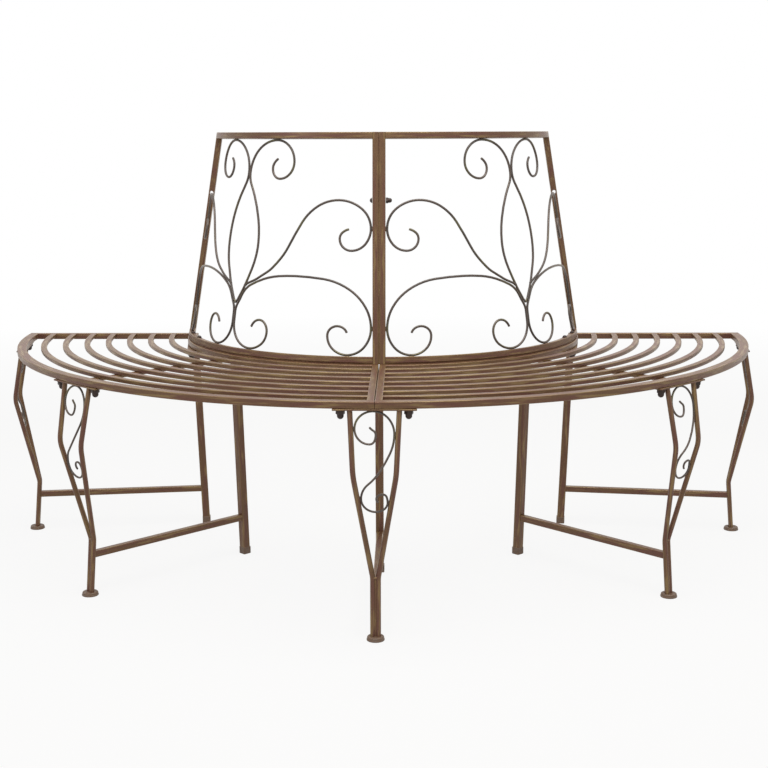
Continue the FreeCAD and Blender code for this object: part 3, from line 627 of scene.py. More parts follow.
def make_bronze_coat(name, ground, patches, soot, rubbed, rub_start, rub_end):
    """Antique powder coat on steel: a brown ground with metallic pigment, bronze rubbed over it by hand.

    To the eye it is a satin brown with a soft warm gleam. The rub runs along each bar in streaks some
    60 mm long and 5 mm wide, and catches its edges. It begins where its noise passes rub_start and is
    full at rub_end. The ground goes between two browns in broader streaks, some 110 mm by 9 mm, and has
    a fine dark grain and a faint orange peel from the oven.
    """
    tree, surface = new_material(name)
    place = add_node(tree, "ShaderNodeTexCoord", output="Object")
    bar = add_node(tree, "ShaderNodeAttribute", output="Vector", attribute_name="bar_space")
    edge = add_node(tree, "ShaderNodeAttribute", output="Fac", attribute_name="edge")
    stretch = (1 / STREAK_STRETCH, 1, 1)
    drawn = add_node(tree, "ShaderNodeVectorMath", {0: bar, 1: stretch}, operation="MULTIPLY")

    inputs = {"Vector": drawn, "Scale": 1 / DRIFT_WIDTH, "Detail": 2.0}
    cloud = add_node(tree, "ShaderNodeTexNoise", inputs)
    drift = add_node(tree, "ShaderNodeMapRange", {"Value": cloud, "From Min": 0.42, "From Max": 0.58})
    inputs = {0: drift, 6: opaque(ground), 7: opaque(patches)}
    brown = add_node(tree, "ShaderNodeMix", inputs, 2, data_type="RGBA")

    inputs = {"Vector": place, "Scale": 1 / GRAIN_SIZE, "Detail": 2.0}
    grain = add_node(tree, "ShaderNodeTexNoise", inputs)
    inputs = {"Value": grain, "From Min": 0.35, "From Max": 0.5, "To Min": 0.35, "To Max": 0.0}
    specks = add_node(tree, "ShaderNodeMapRange", inputs)
    brown = add_node(tree, "ShaderNodeMix", {0: specks, 6: brown, 7: opaque(soot)}, 2, data_type="RGBA")

    inputs = {"Vector": drawn, "Scale": 1 / RUB_WIDTH, "Detail": 3.0}
    streaks = add_node(tree, "ShaderNodeTexNoise", inputs)
    inputs = {"Value": streaks, "From Min": rub_start, "From Max": rub_end, "To Max": 0.8}
    rub = add_node(tree, "ShaderNodeMapRange", inputs)
    catch = add_node(tree, "ShaderNodeMapRange", {"Value": streaks, "From Min": 0.35, "From Max": 0.6})
    worn = add_node(tree, "ShaderNodeMath", {0: edge, 1: catch}, operation="MULTIPLY")
    rub = add_node(tree, "ShaderNodeMath", {0: rub, 1: worn}, operation="MAXIMUM")
    tone = add_node(tree, "ShaderNodeMix", {0: rub, 6: brown, 7: opaque(rubbed)}, 2, data_type="RGBA")

    gloss = add_node(tree, "ShaderNodeMapRange", {"Value": rub, "To Min": 0.42, "To Max": 0.32})
    inputs = {"Vector": place, "Scale": 1 / PEEL_SIZE, "Detail": 1.0}
    peel = add_node(tree, "ShaderNodeTexNoise", inputs)
    inputs = {"Strength": 0.5, "Distance": PEEL_DEPTH, "Height": peel}
    bump = add_node(tree, "ShaderNodeBump", inputs)
    shader = add_node(tree, "ShaderNodeBsdfPrincipled", {
        "Base Color": tone,
        "Metallic": 0.3,
        "Roughness": gloss,
        "Specular IOR Level": 0.35,
        "Specular Tint": (1.0, 0.86, 0.72, 1.0),
        "Coat Weight": 0.25,
        "Coat Roughness": 0.3,
        "Normal": bump,
    })
    tree.links.new(shader, surface)


def make_plain_finish(name, ground, stain, roughness, metallic, grain_size):
    """A plain plated or moulded surface: one colour with soft stains, and a fine grain in its gloss."""
    tree, surface = new_material(name)
    place = add_node(tree, "ShaderNodeTexCoord", output="Object")
    inputs = {"Vector": place, "Scale": 1 / STAIN_SIZE, "Detail": 3.0}
    cloud = add_node(tree, "ShaderNodeTexNoise", inputs)
    inputs = {"Value": cloud, "From Min": 0.4, "From Max": 0.65, "To Max": 0.6}
    stains = add_node(tree, "ShaderNodeMapRange", inputs)
    inputs = {0: stains, 6: opaque(ground), 7: opaque(stain)}
    tone = add_node(tree, "ShaderNodeMix", inputs, 2, data_type="RGBA")

    inputs = {"Vector": place, "Scale": 1 / grain_size, "Detail": 2.0}
    grain = add_node(tree, "ShaderNodeTexNoise", inputs)
    inputs = {
        "Value": grain, "From Min": 0.3, "From Max": 0.7,
        "To Min": roughness - 0.06, "To Max": roughness + 0.06,
    }
    gloss = add_node(tree, "ShaderNodeMapRange", inputs)
    inputs = {"Strength": 0.4, "Distance": GRAIN_DEPTH, "Height": grain}
    bump = add_node(tree, "ShaderNodeBump", inputs)
    shader = add_node(tree, "ShaderNodeBsdfPrincipled", {
        "Base Color": tone,
        "Metallic": metallic,
        "Roughness": gloss,
        "Normal": bump,
    })
    tree.links.new(shader, surface)


def background_seen(tree):
    """One where the camera, a gloss or a view through something looks, and zero where light is gathered."""
    rays = tree.nodes.new("ShaderNodeLightPath").outputs
    inputs = {0: rays["Is Camera Ray"], 1: rays["Is Glossy Ray"]}
    seen = add_node(tree, "ShaderNodeMath", inputs, operation="MAXIMUM")
    inputs = {0: seen, 1: rays["Is Transmission Ray"]}
    return add_node(tree, "ShaderNodeMath", inputs, operation="MAXIMUM")


def make_floor_paper(finish):
    """Matte white paper: it keeps the object's shadow, and shows white to the camera and in gloss.

    From 1.5 m to 3.5 m from the middle it turns all white, to meet the white backdrop without a line.
    """
    tree, surface = new_material(FLOOR_PAPER)
    place = add_node(tree, "ShaderNodeTexCoord", output="Object")
    reach = add_node(tree, "ShaderNodeVectorMath", {0: place}, "Value", operation="LENGTH")
    inputs = {"Value": reach, "From Min": 1.5, "From Max": 3.5, "To Min": 0.88, "To Max": 1.0}
    white = add_node(tree, "ShaderNodeMapRange", inputs)
    inputs = {0: background_seen(tree), 1: white}
    shown = add_node(tree, "ShaderNodeMath", inputs, operation="MULTIPLY")
    paper = add_node(tree, "ShaderNodeBsdfDiffuse", {"Color": opaque(finish.paper)})
    glow = add_node(tree, "ShaderNodeEmission", {"Color": (1, 1, 1, 1), "Strength": 1.0})
    mix = add_node(tree, "ShaderNodeMixShader", {0: shown, 1: paper, 2: glow})
    tree.links.new(mix, surface)


class TREEBENCH_OT_finishes(bpy.types.Operator):
    """Make the materials of the bench and of the floor."""

    bl_idname = "tree_bench.finishes"
    bl_label = "Finishes"

    def execute(self, context):
        finish = context.scene.tree_bench_finish
        browns = (finish.umber, finish.red_brown, finish.soot, finish.old_gold)
        make_bronze_coat(BAR_COAT, *browns, rub_start=0.51, rub_end=0.66)
        # The same coat goes on thinner round a thin rod, and looks greyer and less rubbed there.
        greys = (finish.rod_umber, finish.rod_grey, finish.soot, finish.rod_olive)
        make_bronze_coat(ROD_COAT, *greys, rub_start=0.56, rub_end=0.74)
        # Steel plated with zinc and blackened in a bath: nearly black, half dull, with a weak gleam.
        zinc = (finish.black_zinc, finish.soot)
        make_plain_finish(PLATING, *zinc, roughness=0.42, metallic=0.6, grain_size=PLATED_GRAIN)
        # Nylon from a fine-grained mould: an even, soft brown that hardly gleams.
        nylon = (finish.cap_brown, finish.umber)
        make_plain_finish(CAP_NYLON, *nylon, roughness=0.5, metallic=0.0, grain_size=MOULDED_GRAIN)
        make_floor_paper(finish)
        return {"FINISHED"}


def rim_middles(seat):
    """The middle radius of each rim."""
    return {"outer": seat.radius - seat.rim_width / 2, "inner": seat.tree_radius + seat.rim_width / 2}


class TREEBENCH_OT_rims(bpy.types.Operator):
    """Bend the outer and the inner rim of each quarter."""

    bl_idname = "tree_bench.rims"
    bl_label = "Rims"

    def execute(self, context):
        seat = context.scene.tree_bench_seat
        outline = rounded_outline(seat.rim_width, seat.rim_depth, seat.corner)
        height = seat.height - seat.rim_depth / 2
        for where, radius in rim_middles(seat).items():
            gap = seat.rim_joint if where == "outer" else seat.seam_gap
            path = ring_path(radius, height, (0, math.acos(gap / 2 / radius)))
            add_both(f"{where}_rim", "tube", [sweep(path, outline, OPEN_END)])
        return {"FINISHED"}


class TREEBENCH_OT_rails(bpy.types.Operator):
    """Make the straight rails of the seat and the crossbar under the slats."""

    bl_idname = "tree_bench.rails"
    bl_label = "Rails and crossbars"

    def execute(self, context):
        seat = context.scene.tree_bench_seat
        turn = context.scene.tree_bench_legs.front_angle
        inside = seat.tree_radius + seat.rim_width - seat.sink
        outside = seat.radius - seat.rim_width + seat.sink
        tube = rounded_outline(seat.tube, seat.tube, seat.corner)
        high = seat.height - seat.tube / 2
        seam = seat.seam_gap / 2 + seat.tube / 2
        bar_depth = seat.rim_depth - seat.slat_depth
        bar = rounded_outline(bar_depth, seat.crossbar_width, seat.crossbar_corner)
        low = seat.height - seat.rim_depth + bar_depth / 2
        runs = {
            "end_rail": (
                straight_path((inside, -seat.tube / 2, high), (outside, -seat.tube / 2, high), (0, 0, 1)),
                tube,
            ),
            "centre_rail": (
                straight_path((seam, -inside, high), (seam, -outside, high), (0, 0, 1)),
                tube,
            ),
            "crossbar": (
                turned(straight_path((inside, 0, low), (outside, 0, low), (0, 0, 1)), turn),
                bar,
            ),
        }
        for label, (path, outline) in runs.items():
            add_both(label, "bar", [sweep(path, outline, WELDED_END)])
        return {"FINISHED"}


class TREEBENCH_OT_slats(bpy.types.Operator):
    """Bend the slats of both quarters."""

    bl_idname = "tree_bench.slats"
    bl_label = "Slats"

    def execute(self, context):
        seat = context.scene.tree_bench_seat
        outline = rounded_outline(seat.slat_width, seat.slat_depth, seat.corner)
        first = seat.tree_radius + seat.rim_width / 2
        pitch = (seat.radius - seat.tree_radius - seat.rim_width) / (seat.slats + 1)
        into = seat.tube - seat.sink
        for count in range(1, seat.slats + 1):
            radius = first + pitch * count
            ends = (math.asin(into / radius), math.acos((seat.seam_gap / 2 + into) / radius))
            path = ring_path(radius, seat.height - seat.slat_depth / 2, ends)
            slat = sweep(path, outline, WELDED_END)
            add_coated(f"slats_{count}_bars", [slat, reflected(slat)], [f"slats_{count}"])
        return {"FINISHED"}


def panel_lean(back):
    """The angle at which a back panel leans inward."""
    return math.atan(back.slope / back.height)


def panel_slant(back):
    """Length of a back panel up its slope."""
    return math.hypot(back.height, back.slope)


def panel_middle(seat, back, up_slant):
    """Radius and height of the panel's middle surface, some way s up its slope.

    From the outer foot, with h half a tube and a the lean, the radius is smaller by s sin a + h cos a and
    the height greater by s cos a - h sin a.
    """
    lean = panel_lean(back)
    half = seat.tube / 2
    radius = back.radius - up_slant * math.sin(lean) - half * math.cos(lean)
    return radius, seat.height + up_slant * math.cos(lean) - half * math.sin(lean)


def join_hole(seat, back):
    """Radius and height of a panel's bolt holes, on its middle surface."""
    lean = panel_lean(back)
    radius = back.radius - back.slope * back.hole_rise - seat.tube / 2 / math.cos(lean)
    return radius, seat.height + back.height * back.hole_rise


class TREEBENCH_OT_back_rails(bpy.types.Operator):
    """Bend the bottom and the top rail of each back panel, and close the wedge under the leaning one."""

    bl_idname = "tree_bench.back_rails"
    bl_label = "Back rails"

    def execute(self, context):
        seat = context.scene.tree_bench_seat
        back = context.scene.tree_bench_back
        outline = rounded_outline(seat.tube, seat.tube, seat.corner)
        lean = panel_lean(back)
        into = seat.tube - seat.sink
        climbs = {
            "back_bottom_rail": seat.tube * (math.tan(lean) + 0.5),
            "back_top_rail": panel_slant(back) - seat.tube / 2,
        }
        for label, climb in climbs.items():
            radius, height = panel_middle(seat, back, climb)
            ends = (
                math.asin((back.setback + into) / radius),
                math.acos((seat.seam_gap / 2 + into) / radius),
            )
            path = ring_path(radius, height, ends, lean, back.setback)
            parts = [sweep(path, outline, WELDED_END)]
            if label == "back_bottom_rail":
                radius = back.radius - back.strip_inset
                path = ring_path(radius, seat.height + back.strip_rise, ends, 0.0, back.setback)
                strip = rounded_outline(back.strip_width, back.strip_depth, back.strip_corner)
                parts.append(sweep(path, strip, back.strip_end))
            add_both(label, "tube", parts)
        return {"FINISHED"}


def drilled(piece, centre, axis, diameter):
    """Cut a round hole through a piece, by the difference with a turned pin."""
    reach = 20 * MM
    start = np.array(centre) - np.array(axis) * reach
    profile = [(diameter / 2, 0), (diameter / 2, 2 * reach)]
    points, faces, _, _, _ = lathe(start, axis, profile, steps=BOLT_SIDES)
    pin_mesh = bpy.data.meshes.new("pin")
    pin_mesh.from_pydata(points.tolist(), [], faces)
    pin = bpy.data.objects.new("pin", pin_mesh)
    bpy.context.scene.collection.objects.link(pin)
    cut = piece.modifiers.new("hole", "BOOLEAN")
    cut.operation = "DIFFERENCE"
    cut.object = pin
    cut.solver = "EXACT"
    bpy.context.view_layer.update()
    evaluated = piece.evaluated_get(bpy.context.evaluated_depsgraph_get())
    bored = bpy.data.meshes.new_from_object(evaluated)
    piece.modifiers.clear()
    piece.data = bored
    bpy.data.objects.remove(pin)
    bored.set_sharp_from_angle(angle=SHARP_DRILLED)


class TREEBENCH_OT_posts(bpy.types.Operator):
    """Make the end and the centre post of each back panel, with the join holes of the end posts."""

    bl_idname = "tree_bench.posts"
    bl_label = "Back posts"

    def execute(self, context):
        seat = context.scene.tree_bench_seat
        back = context.scene.tree_bench_back
        outline = rounded_outline(seat.tube, seat.tube, seat.corner)
        foot, low = panel_middle(seat, back, 0)
        head, high = panel_middle(seat, back, panel_slant(back))
        hole, hole_height = join_hole(seat, back)
        half = seat.tube / 2
        seam = back.post_joint / 2 + half
        end = straight_path((foot, -half, low), (head, -half, high), (1, 0, 0))
        ends = ((seam, back.setback - foot, low), (seam, back.setback - head, high))
        centre = straight_path(*ends, (1, 0, 0))
        for side in SIDES:
            for label, path in (("end_post", end), ("centre_post", centre)):
                node = f"{side}_{label}"
                part = sweep(path, outline, OPEN_END)
                own = reflected(part) if side == "left" else part
                piece = add_coated(f"{node}_tube", [own], [node])
                if label == "end_post":
                    across = -hole if side == "left" else hole
                    drilled(piece, (across, -half, hole_height), (0, 1, 0), back.hole)
        return {"FINISHED"}


def panel_station(seat, back, share, climb, degrees, hand):
    """A scroll rod's station on the panel's middle surface, as a point and a heading.

    The climb is a percentage of the clear height up the slope, and the share one of the arc from the
    scrollwork's axis to a post: the centre post where hand is 1, the end post where it is -1. Half a rod
    is kept free at the ends of both. The heading is cos t along the arc plus sin t up the slope.
    """
    lowest = seat.tube * (1 + math.tan(panel_lean(back))) + back.rod / 2
    highest = panel_slant(back) - seat.tube - back.rod / 2
    radius, height = panel_middle(seat, back, lowest + (highest - lowest) * climb / 100)
    first = math.asin((back.setback + seat.tube) / radius)
    last = math.acos((seat.tube + seat.seam_gap / 2) / radius)
    half_width = radius * (last - first) / 2
    shift = half_width * back.axis_shift
    across = back.rod / 2 + (half_width + hand * shift - back.rod) * share / 100
    around = (first + last) / 2 + (hand * across - shift) / radius
    outward = np.array([math.cos(around), -math.sin(around), 0])
    lean = panel_lean(back)
    up = np.array([0, 0, math.cos(lean)]) - outward * math.sin(lean)
    along = np.array([-math.sin(around), -math.cos(around), 0]) * hand
    turn = math.radians(degrees)
    point = outward * radius + np.array([0, back.setback, height])
    return point, along * math.cos(turn) + up * math.sin(turn)


def beside(seat, back, share, climb, degrees, hand):
    """The station one rod's thickness outside another one."""
    point, heading = panel_station(seat, back, share, climb, degrees, hand)
    _, outside = panel_station(seat, back, share, climb, degrees + 90, hand)
    return point + outside * back.rod, heading


def panel_beads(seat, back, welds, hand):
    """Weld beads where a rod touches, half a rod's thickness off its line."""
    beads = []
    for share, climb, degrees, toward in welds:
        point, heading = panel_station(seat, back, share, climb, degrees, hand)
        _, across = panel_station(seat, back, share, climb, toward, hand)
        beads.append(rod_bead(point + across * back.rod / 2, heading, back.rod))
    return beads


class TREEBENCH_OT_scrollwork(bpy.types.Operator):
    """Bend the scroll rods of both back panels, with the weld beads where they touch."""

    bl_idname = "tree_bench.scrollwork"
    bl_label = "Scrollwork"

    def execute(self, context):
        seat = context.scene.tree_bench_seat
        back = context.scene.tree_bench_back
        outline = round_outline(back.rod, ROD_SIDES)
        rods = {
            "upper_scrolls": (UPPER_ROD, UPPER_WELDS),
            "middle_scrolls": (MIDDLE_ROD, MIDDLE_WELDS),
            "lower_scrolls": (LOWER_ROD_SCROLL, LOWER_WELDS),
        }
        for label, (rod, welds) in rods.items():
            paths = []
            beads = []
            for hand in (1, -1):
                stations = [panel_station(seat, back, *station, hand) for station in rod]
                if label == "lower_scrolls":
                    stations.append(beside(seat, back, *SHOULDER, hand))
                    stations += [panel_station(seat, back, *station, hand) for station in LOWER_ROD_STEM]
                points = through(stations)
                outward = points * [1, 1, 0] - [0, back.setback, 0]
                paths.append(framed(points, unit(outward)))
                beads += panel_beads(seat, back, welds, hand)
            parts = [sweep(path, outline, back.rod_end) for path in paths] + beads
            add_both(label, "rods", parts, ROD_COAT)
        return {"FINISHED"}


def leg_top(seat, legs):
    """Radius of the outer leg's middle at its plate."""
    return seat.radius - legs.top_inset


def plate_bottom(seat, legs):
    """Height of the underside of the plates."""
    return seat.height - seat.rim_depth - legs.plate_thickness


def bar_line(seat, legs, hand):
    """The centre line of one bar of an outer leg, from its plate to the ground, bent at knee and ankle."""
    top = leg_top(seat, legs)
    together = legs.bar / 2
    corners = [
        (top, legs.top_spread, seat.height),
        (top + legs.knee_reach, legs.knee_spread, legs.knee_height),
        (top + legs.ankle_reach, together, legs.ankle_height),
        (top + legs.foot_reach, together, 0),
    ]
    line = rounded_line([np.array(corner) for corner in corners], (legs.knee_bend, legs.ankle_bend))
    return line * np.array([1, hand, 1])


def bar_at(seat, legs, height):
    """Where the right-hand bar's centre line passes a height, and its change there per unit of height."""
    line = bar_line(seat, legs, 1)[::-1]
    point = np.array([np.interp(height, line[:, 2], line[:, axis]) for axis in range(3)])
    slopes = np.gradient(line, line[:, 2], axis=0)
    return point, np.array([np.interp(height, line[:, 2], slopes[:, axis]) for axis in range(3)])


def leg_angle(legs, name):
    """The angle of a leg round the tree."""
    if name == "centre_leg":
        return math.pi / 2
    turn = legs.back_angle if "back" in name else legs.front_angle
    return turn if name.startswith("right") else math.pi - turn


def cut_between(line, low, high):
    """The part of a falling line between two heights, from the lower one up."""
    rising = line[::-1]
    inside = rising[(rising[:, 2] > low) & (rising[:, 2] < high)]
    ends = [[np.interp(z, rising[:, 2], rising[:, axis]) for axis in range(3)] for z in (low, high)]
    return np.concatenate([[ends[0]], inside, [ends[1]]])


class TREEBENCH_OT_leg_bars(bpy.types.Operator):
    """Bend the two bars and the S-scroll of each outer leg, with the welds between them."""

    bl_idname = "tree_bench.leg_bars"
    bl_label = "Outer legs"

    def execute(self, context):
        seat = context.scene.tree_bench_seat
        legs = context.scene.tree_bench_legs
        rod = legs.scroll_rod
        thick = round_outline(legs.bar, LEG_BAR_SIDES)
        thin = round_outline(rod, ROD_SIDES)
        high = plate_bottom(seat, legs) + legs.plate_thickness / 2
        low = legs.foot_cap_height / 2
        bars = []
        for hand in (1, -1):
            line = cut_between(bar_line(seat, legs, hand), low, high)
            bars.append(framed(line, np.array([0, 1.0, 0])))
        ankle, _ = bar_at(seat, legs, legs.ankle_height)
        foot, _ = bar_at(seat, legs, low)
        between = np.array([1, 0, 1])
        fill = straight_path(foot * between, ankle * between, (0, 1, 0))
        fill_outline = rounded_outline(legs.fill_depth, legs.bar * legs.fill_share, legs.fill_corner)
        crotch = np.array([ankle[0] + legs.bar * legs.crotch_share, 0, legs.ankle_height])
        stations = []
        contacts = []
        top = plate_bottom(seat, legs) - rod / 2
        for share, climb, degrees in LEG_SCROLL:
            height = legs.ankle_height + (top - legs.ankle_height) * climb / 100
            centre, rise = bar_at(seat, legs, height)
            room = centre[1] - (legs.bar + rod) / 2
            turn = math.radians(degrees)
            heading = np.array([rise[0] * math.sin(turn), math.cos(turn), math.sin(turn)])
            stations.append((np.array([centre[0], room * share / 100, height]), unit(heading)))
            if abs(share) == 100:
                toward = np.array([0, math.copysign(rod / 2, share), 0])
                contacts.append((stations[-1][0] + toward, unit(heading)))
            elif climb == 100:
                contacts.append((stations[-1][0] + np.array([0, 0, rod / 2]), unit(heading)))
        scroll = framed(through(stations), np.array([1.0, 0, 0]))
        for name in LEGS:
            turn = leg_angle(legs, name)
            parts = [sweep(turned(path, turn), thick, legs.bar_end) for path in bars]
            parts.append(sweep(turned(fill, turn), fill_outline, legs.fill_end))
            place, across = turned((crotch, np.array([0, 1.0, 0])), turn)
            parts.append(bead(place, across, legs.crotch_thickness, legs.crotch_length))
            add_coated(f"{name}_bent_bars", parts, [f"{name}_outer_bars"])
            parts = [sweep(turned(scroll, turn), thin, legs.scroll_end)]
            parts += [rod_bead(*turned(contact, turn), rod) for contact in contacts]
            add_coated(f"{name}_scroll_rod", parts, [f"{name}_scroll"], ROD_COAT)
        return {"FINISHED"}


class TREEBENCH_OT_inner_legs(bpy.types.Operator):
    """Make the inner legs and the stretchers to the outer legs."""

    bl_idname = "tree_bench.inner_legs"
    bl_label = "Inner legs and stretchers"

    def execute(self, context):
        seat = context.scene.tree_bench_seat
        legs = context.scene.tree_bench_legs
        square = rounded_outline(legs.post, legs.post, seat.corner)
        tube = rounded_outline(seat.tube, seat.tube, seat.corner)
        top = seat.tree_radius + legs.post_inset
        high = plate_bottom(seat, legs)
        slope = legs.post_slope / high

        def inner(height):
            """The inner leg's middle at a height."""
            return (top - (high - height) * slope, 0, height)

        low = legs.post_cap_height - legs.post_sink
        post = straight_path(inner(low), inner(high + seat.sink), (1, 0, 0))
        middle = legs.stretcher_height
        far = bar_at(seat, legs, middle)[0][0]
        stretcher = straight_path(inner(middle), (far, 0, middle), (0, 0, 1))
        for name in LEGS:
            turn = leg_angle(legs, name)
            parts = [sweep(turned(post, turn), square, WELDED_END)]
            add_coated(f"{name}_square_tube", parts, [f"{name}_inner_post"])
            parts = [sweep(turned(stretcher, turn), tube, WELDED_END)]
            add_coated(f"{name}_stretcher_tube", parts, [f"{name}_stretcher"])
        return {"FINISHED"}


def rim_bolt_points(legs, where, name):
    """A plate's middle and its two bolts, as distances along the rim from the leg.

    They are positive to the right when seen from outside.
    """
    if where == "inner" and "back" in name:
        near = legs.back_bolt_start
        far = near + legs.back_bolt_spacing
        front = -1 if name.startswith("right") else 1
        return front * (legs.plate_length / 2 - legs.back_plate_start), (front * near, front * far)
    half = legs.bolt_spacing / 2
    return 0, (-half, half)


def cap_nut(start, axis, flats, height, washer):
    """A cap nut on a washer: a chamfered hexagon, a neck as wide as the dome, and the dome.

    The dome's points are (d cos t, r sin t), with d its radius and r its rise, which is d where the nut
    is high enough. The washer stands 0.4 mm past the hexagon's corners, and its edges are broken by
    0.3 mm.
    """
    wide = flats / 2 / math.cos(math.pi / 6)
    dome = flats * NUT_DOME
    shoulder = washer + dome
    turn = np.linspace(0, np.pi / 2, 8)[:-1]
    round_profile = [(TIP, 0)]
    if washer:
        lip = wide + 0.4 * MM
        round_profile += [(wide, 0), (lip, 0.3 * MM), (lip, washer - 0.3 * MM), (wide, washer)]
    profile = round_profile + [(wide - 1 * MM, washer), (wide, washer + 0.7 * MM)]
    profile += [(wide, shoulder - 1 * MM), (wide - 1.4 * MM, shoulder), (dome, shoulder)]
    neck = max(height - shoulder - dome, 0)
    rise = height - shoulder - neck
    profile += [(dome * math.cos(t), shoulder + neck + rise * math.sin(t)) for t in turn]
    profile += [(TIP, height)]
    return lathe(start, axis, profile, flats, len(round_profile))


class TREEBENCH_OT_plates(bpy.types.Operator):
    """Make the plates under the rims and the cap nuts under the plates."""

    bl_idname = "tree_bench.plates"
    bl_label = "Plates and cap nuts"

    def execute(self, context):
        seat = context.scene.tree_bench_seat
        legs = context.scene.tree_bench_legs
        flat = rounded_outline(legs.plate_thickness, seat.rim_width, legs.plate_corner)
        bottom = plate_bottom(seat, legs)
        high = bottom + legs.plate_thickness / 2
        for where, radius in rim_middles(seat).items():
            plates = []
            nuts = []
            for name in LEGS:
                turn = leg_angle(legs, name)
                middle, bolts = rim_bolt_points(legs, where, name)
                half = legs.plate_length / 2
                ends = ((radius, middle - half, high), (radius, middle + half, high))
                path = straight_path(*ends, (0, 0, 1))
                plates.append(sweep(turned(path, turn), flat, legs.plate_end))
                for bolt in bolts:
                    start = turned((np.array([radius, bolt, bottom]),), turn)[0]
                    nuts.append(cap_nut(start, (0, 0, -1), legs.nut_flats, legs.nut_height, legs.washer))
            add_coated(f"{where}_flat_plates", plates, [f"{where}_plates"])
            add_fastener(f"{where}_domed_nuts", nuts, f"{where}_cap_nuts")
        return {"FINISHED"}


def foot_cap_profile(wide, tall):
    """A round foot cap's outline: a broken lower edge, a side that draws in, a round lip l, a flat top.

    The lip's points are (s + l cos t, h - l + l sin t), with s the radius inside it and h the height.
    """
    lip = 2.4 * MM
    shoulder = wide - 0.9 * MM - lip
    turn = np.linspace(0, np.pi / 2, 6)
    profile = [(TIP, 0), (wide - 1.2 * MM, 0), (wide - 0.3 * MM, 0.3 * MM), (wide, 1.1 * MM)]
    profile += [(wide - 0.2 * MM, tall * 0.35), (wide - 0.9 * MM, tall * 0.5)]
    profile += [(shoulder + lip * math.cos(t), tall - lip + lip * math.sin(t)) for t in turn]
    return profile + [(shoulder - 2 * MM, tall - 0.4 * MM), (TIP, tall - 0.5 * MM)]


class TREEBENCH_OT_foot_caps(bpy.types.Operator):
    """Make the round caps under the outer legs and the square ones under the inner legs."""

    bl_idname = "tree_bench.foot_caps"
    bl_label = "Foot caps"

    def execute(self, context):
        seat = context.scene.tree_bench_seat
        legs = context.scene.tree_bench_legs
        profile = foot_cap_profile(legs.foot_cap / 2, legs.foot_cap_height)
        square = rounded_outline(legs.post_cap, legs.post_cap, legs.post_cap_corner)
        outer = np.array([leg_top(seat, legs) + legs.foot_reach, 0, 0])
        inner = seat.tree_radius + legs.post_inset - legs.post_slope
        post = straight_path((inner, 0, 0), (inner, 0, legs.post_cap_height), (1, 0, 0))
        turns = [leg_angle(legs, name) for name in LEGS]
        round_caps = [lathe(turned((outer,), turn)[0], (0, 0, 1), profile) for turn in turns]
        square_caps = [sweep(turned(post, turn), square, legs.post_cap_end) for turn in turns]
        add_piece("turned_foot_caps", round_caps, CAP_NYLON, ["foot_caps"])
        add_piece("square_foot_caps", square_caps, CAP_NYLON, ["inner_foot_caps"])
        return {"FINISHED"}


def button_head(start, axis, width, height):
    """A domed bolt head on a flange: (d cos t, h sin t) above the flange, which is 1 mm wider all round."""
    flange = 1 * MM
    turn = np.linspace(0, np.pi / 2, 8)
    half = width / 2
    dome = half - 1 * MM
    profile = [(TIP, 0), (half, 0), (half, flange)]
    profile += [(dome * math.cos(t), flange + (height - flange) * math.sin(t)) for t in turn[:-1]]
    profile += [(TIP, height)]
    return lathe(start, axis, profile, steps=BOLT_SIDES)


class TREEBENCH_OT_bolts(bpy.types.Operator):
    """Make the bolt heads on the bottom rails and the centre bolt with its cap nut."""

    bl_idname = "tree_bench.bolts"
    bl_label = "Bolts of the back"

    def execute(self, context):
        seat = context.scene.tree_bench_seat
        back = context.scene.tree_bench_back
        legs = context.scene.tree_bench_legs
        lean = panel_lean(back)
        radius, height = panel_middle(seat, back, seat.tube * (1 + math.tan(lean)))
        heads = []
        for distance in rim_bolt_points(legs, "inner", "left_back_leg")[1]:
            around = legs.back_angle + distance / rim_middles(seat)["inner"]
            for sign in (1, -1):
                outward = np.array([sign * math.cos(around), -math.sin(around), 0])
                rise = np.array([0, 0, math.cos(lean)]) - outward * math.sin(lean)
                start = outward * radius + np.array([0, back.setback, height])
                heads.append(button_head(start, rise, back.head_flats, back.head_height))
        add_fastener("rail_bolt_heads", heads, "rail_bolts")

        face = seat.seam_gap / 2 + seat.tube
        hole, hole_height = join_hole(seat, back)
        centre = np.array([0, back.setback - hole, hole_height])
        left = centre - np.array([face, 0, 0])
        right = centre + np.array([face, 0, 0])
        head = button_head(left, np.array([-1.0, 0, 0]), back.head_flats, back.head_height)
        nut = cap_nut(right, (1, 0, 0), back.head_flats, back.nut_height, 0)
        add_fastener("centre_bolt_head", [head], "centre_bolt")
        add_fastener("centre_cap_nut", [nut], "centre_nut")
        return {"FINISHED"}


def look_along(stage):
    """The camera's right, up and forward directions, from its yaw y, pitch p and roll.

    Forward is (sin y cos p, cos y cos p, sin p), and the roll turns right and up about it.
    """
    yaw, pitch, roll = stage.yaw, stage.pitch, stage.roll
    forward = np.array([
        math.sin(yaw) * math.cos(pitch), math.cos(yaw) * math.cos(pitch), math.sin(pitch)
    ])
    level = np.array([math.cos(yaw), -math.sin(yaw), 0])
    upright = np.cross(level, forward)
    right = math.cos(roll) * level + math.sin(roll) * upright
    up = -math.sin(roll) * level + math.cos(roll) * upright
    return right, up, forward


def add_soft_box(name, place, target, size, watts):
    """A square area light at a place, facing a target."""
    data = bpy.data.lights.new(name, "AREA")
    data.shape = "SQUARE"
    data.size = size
    data.energy = watts
    lamp = bpy.data.objects.new(name, data)
    bpy.context.scene.collection.objects.link(lamp)
    back = unit(np.array(place, float) - np.array(target, float))
    right = unit(np.cross(LAMP_TOP, back))
    up = np.cross(back, right)
    matrix = np.eye(4)
    matrix[:3, :4] = np.stack([right, up, back, place], axis=1)
    lamp.matrix_world = Matrix(matrix.tolist())


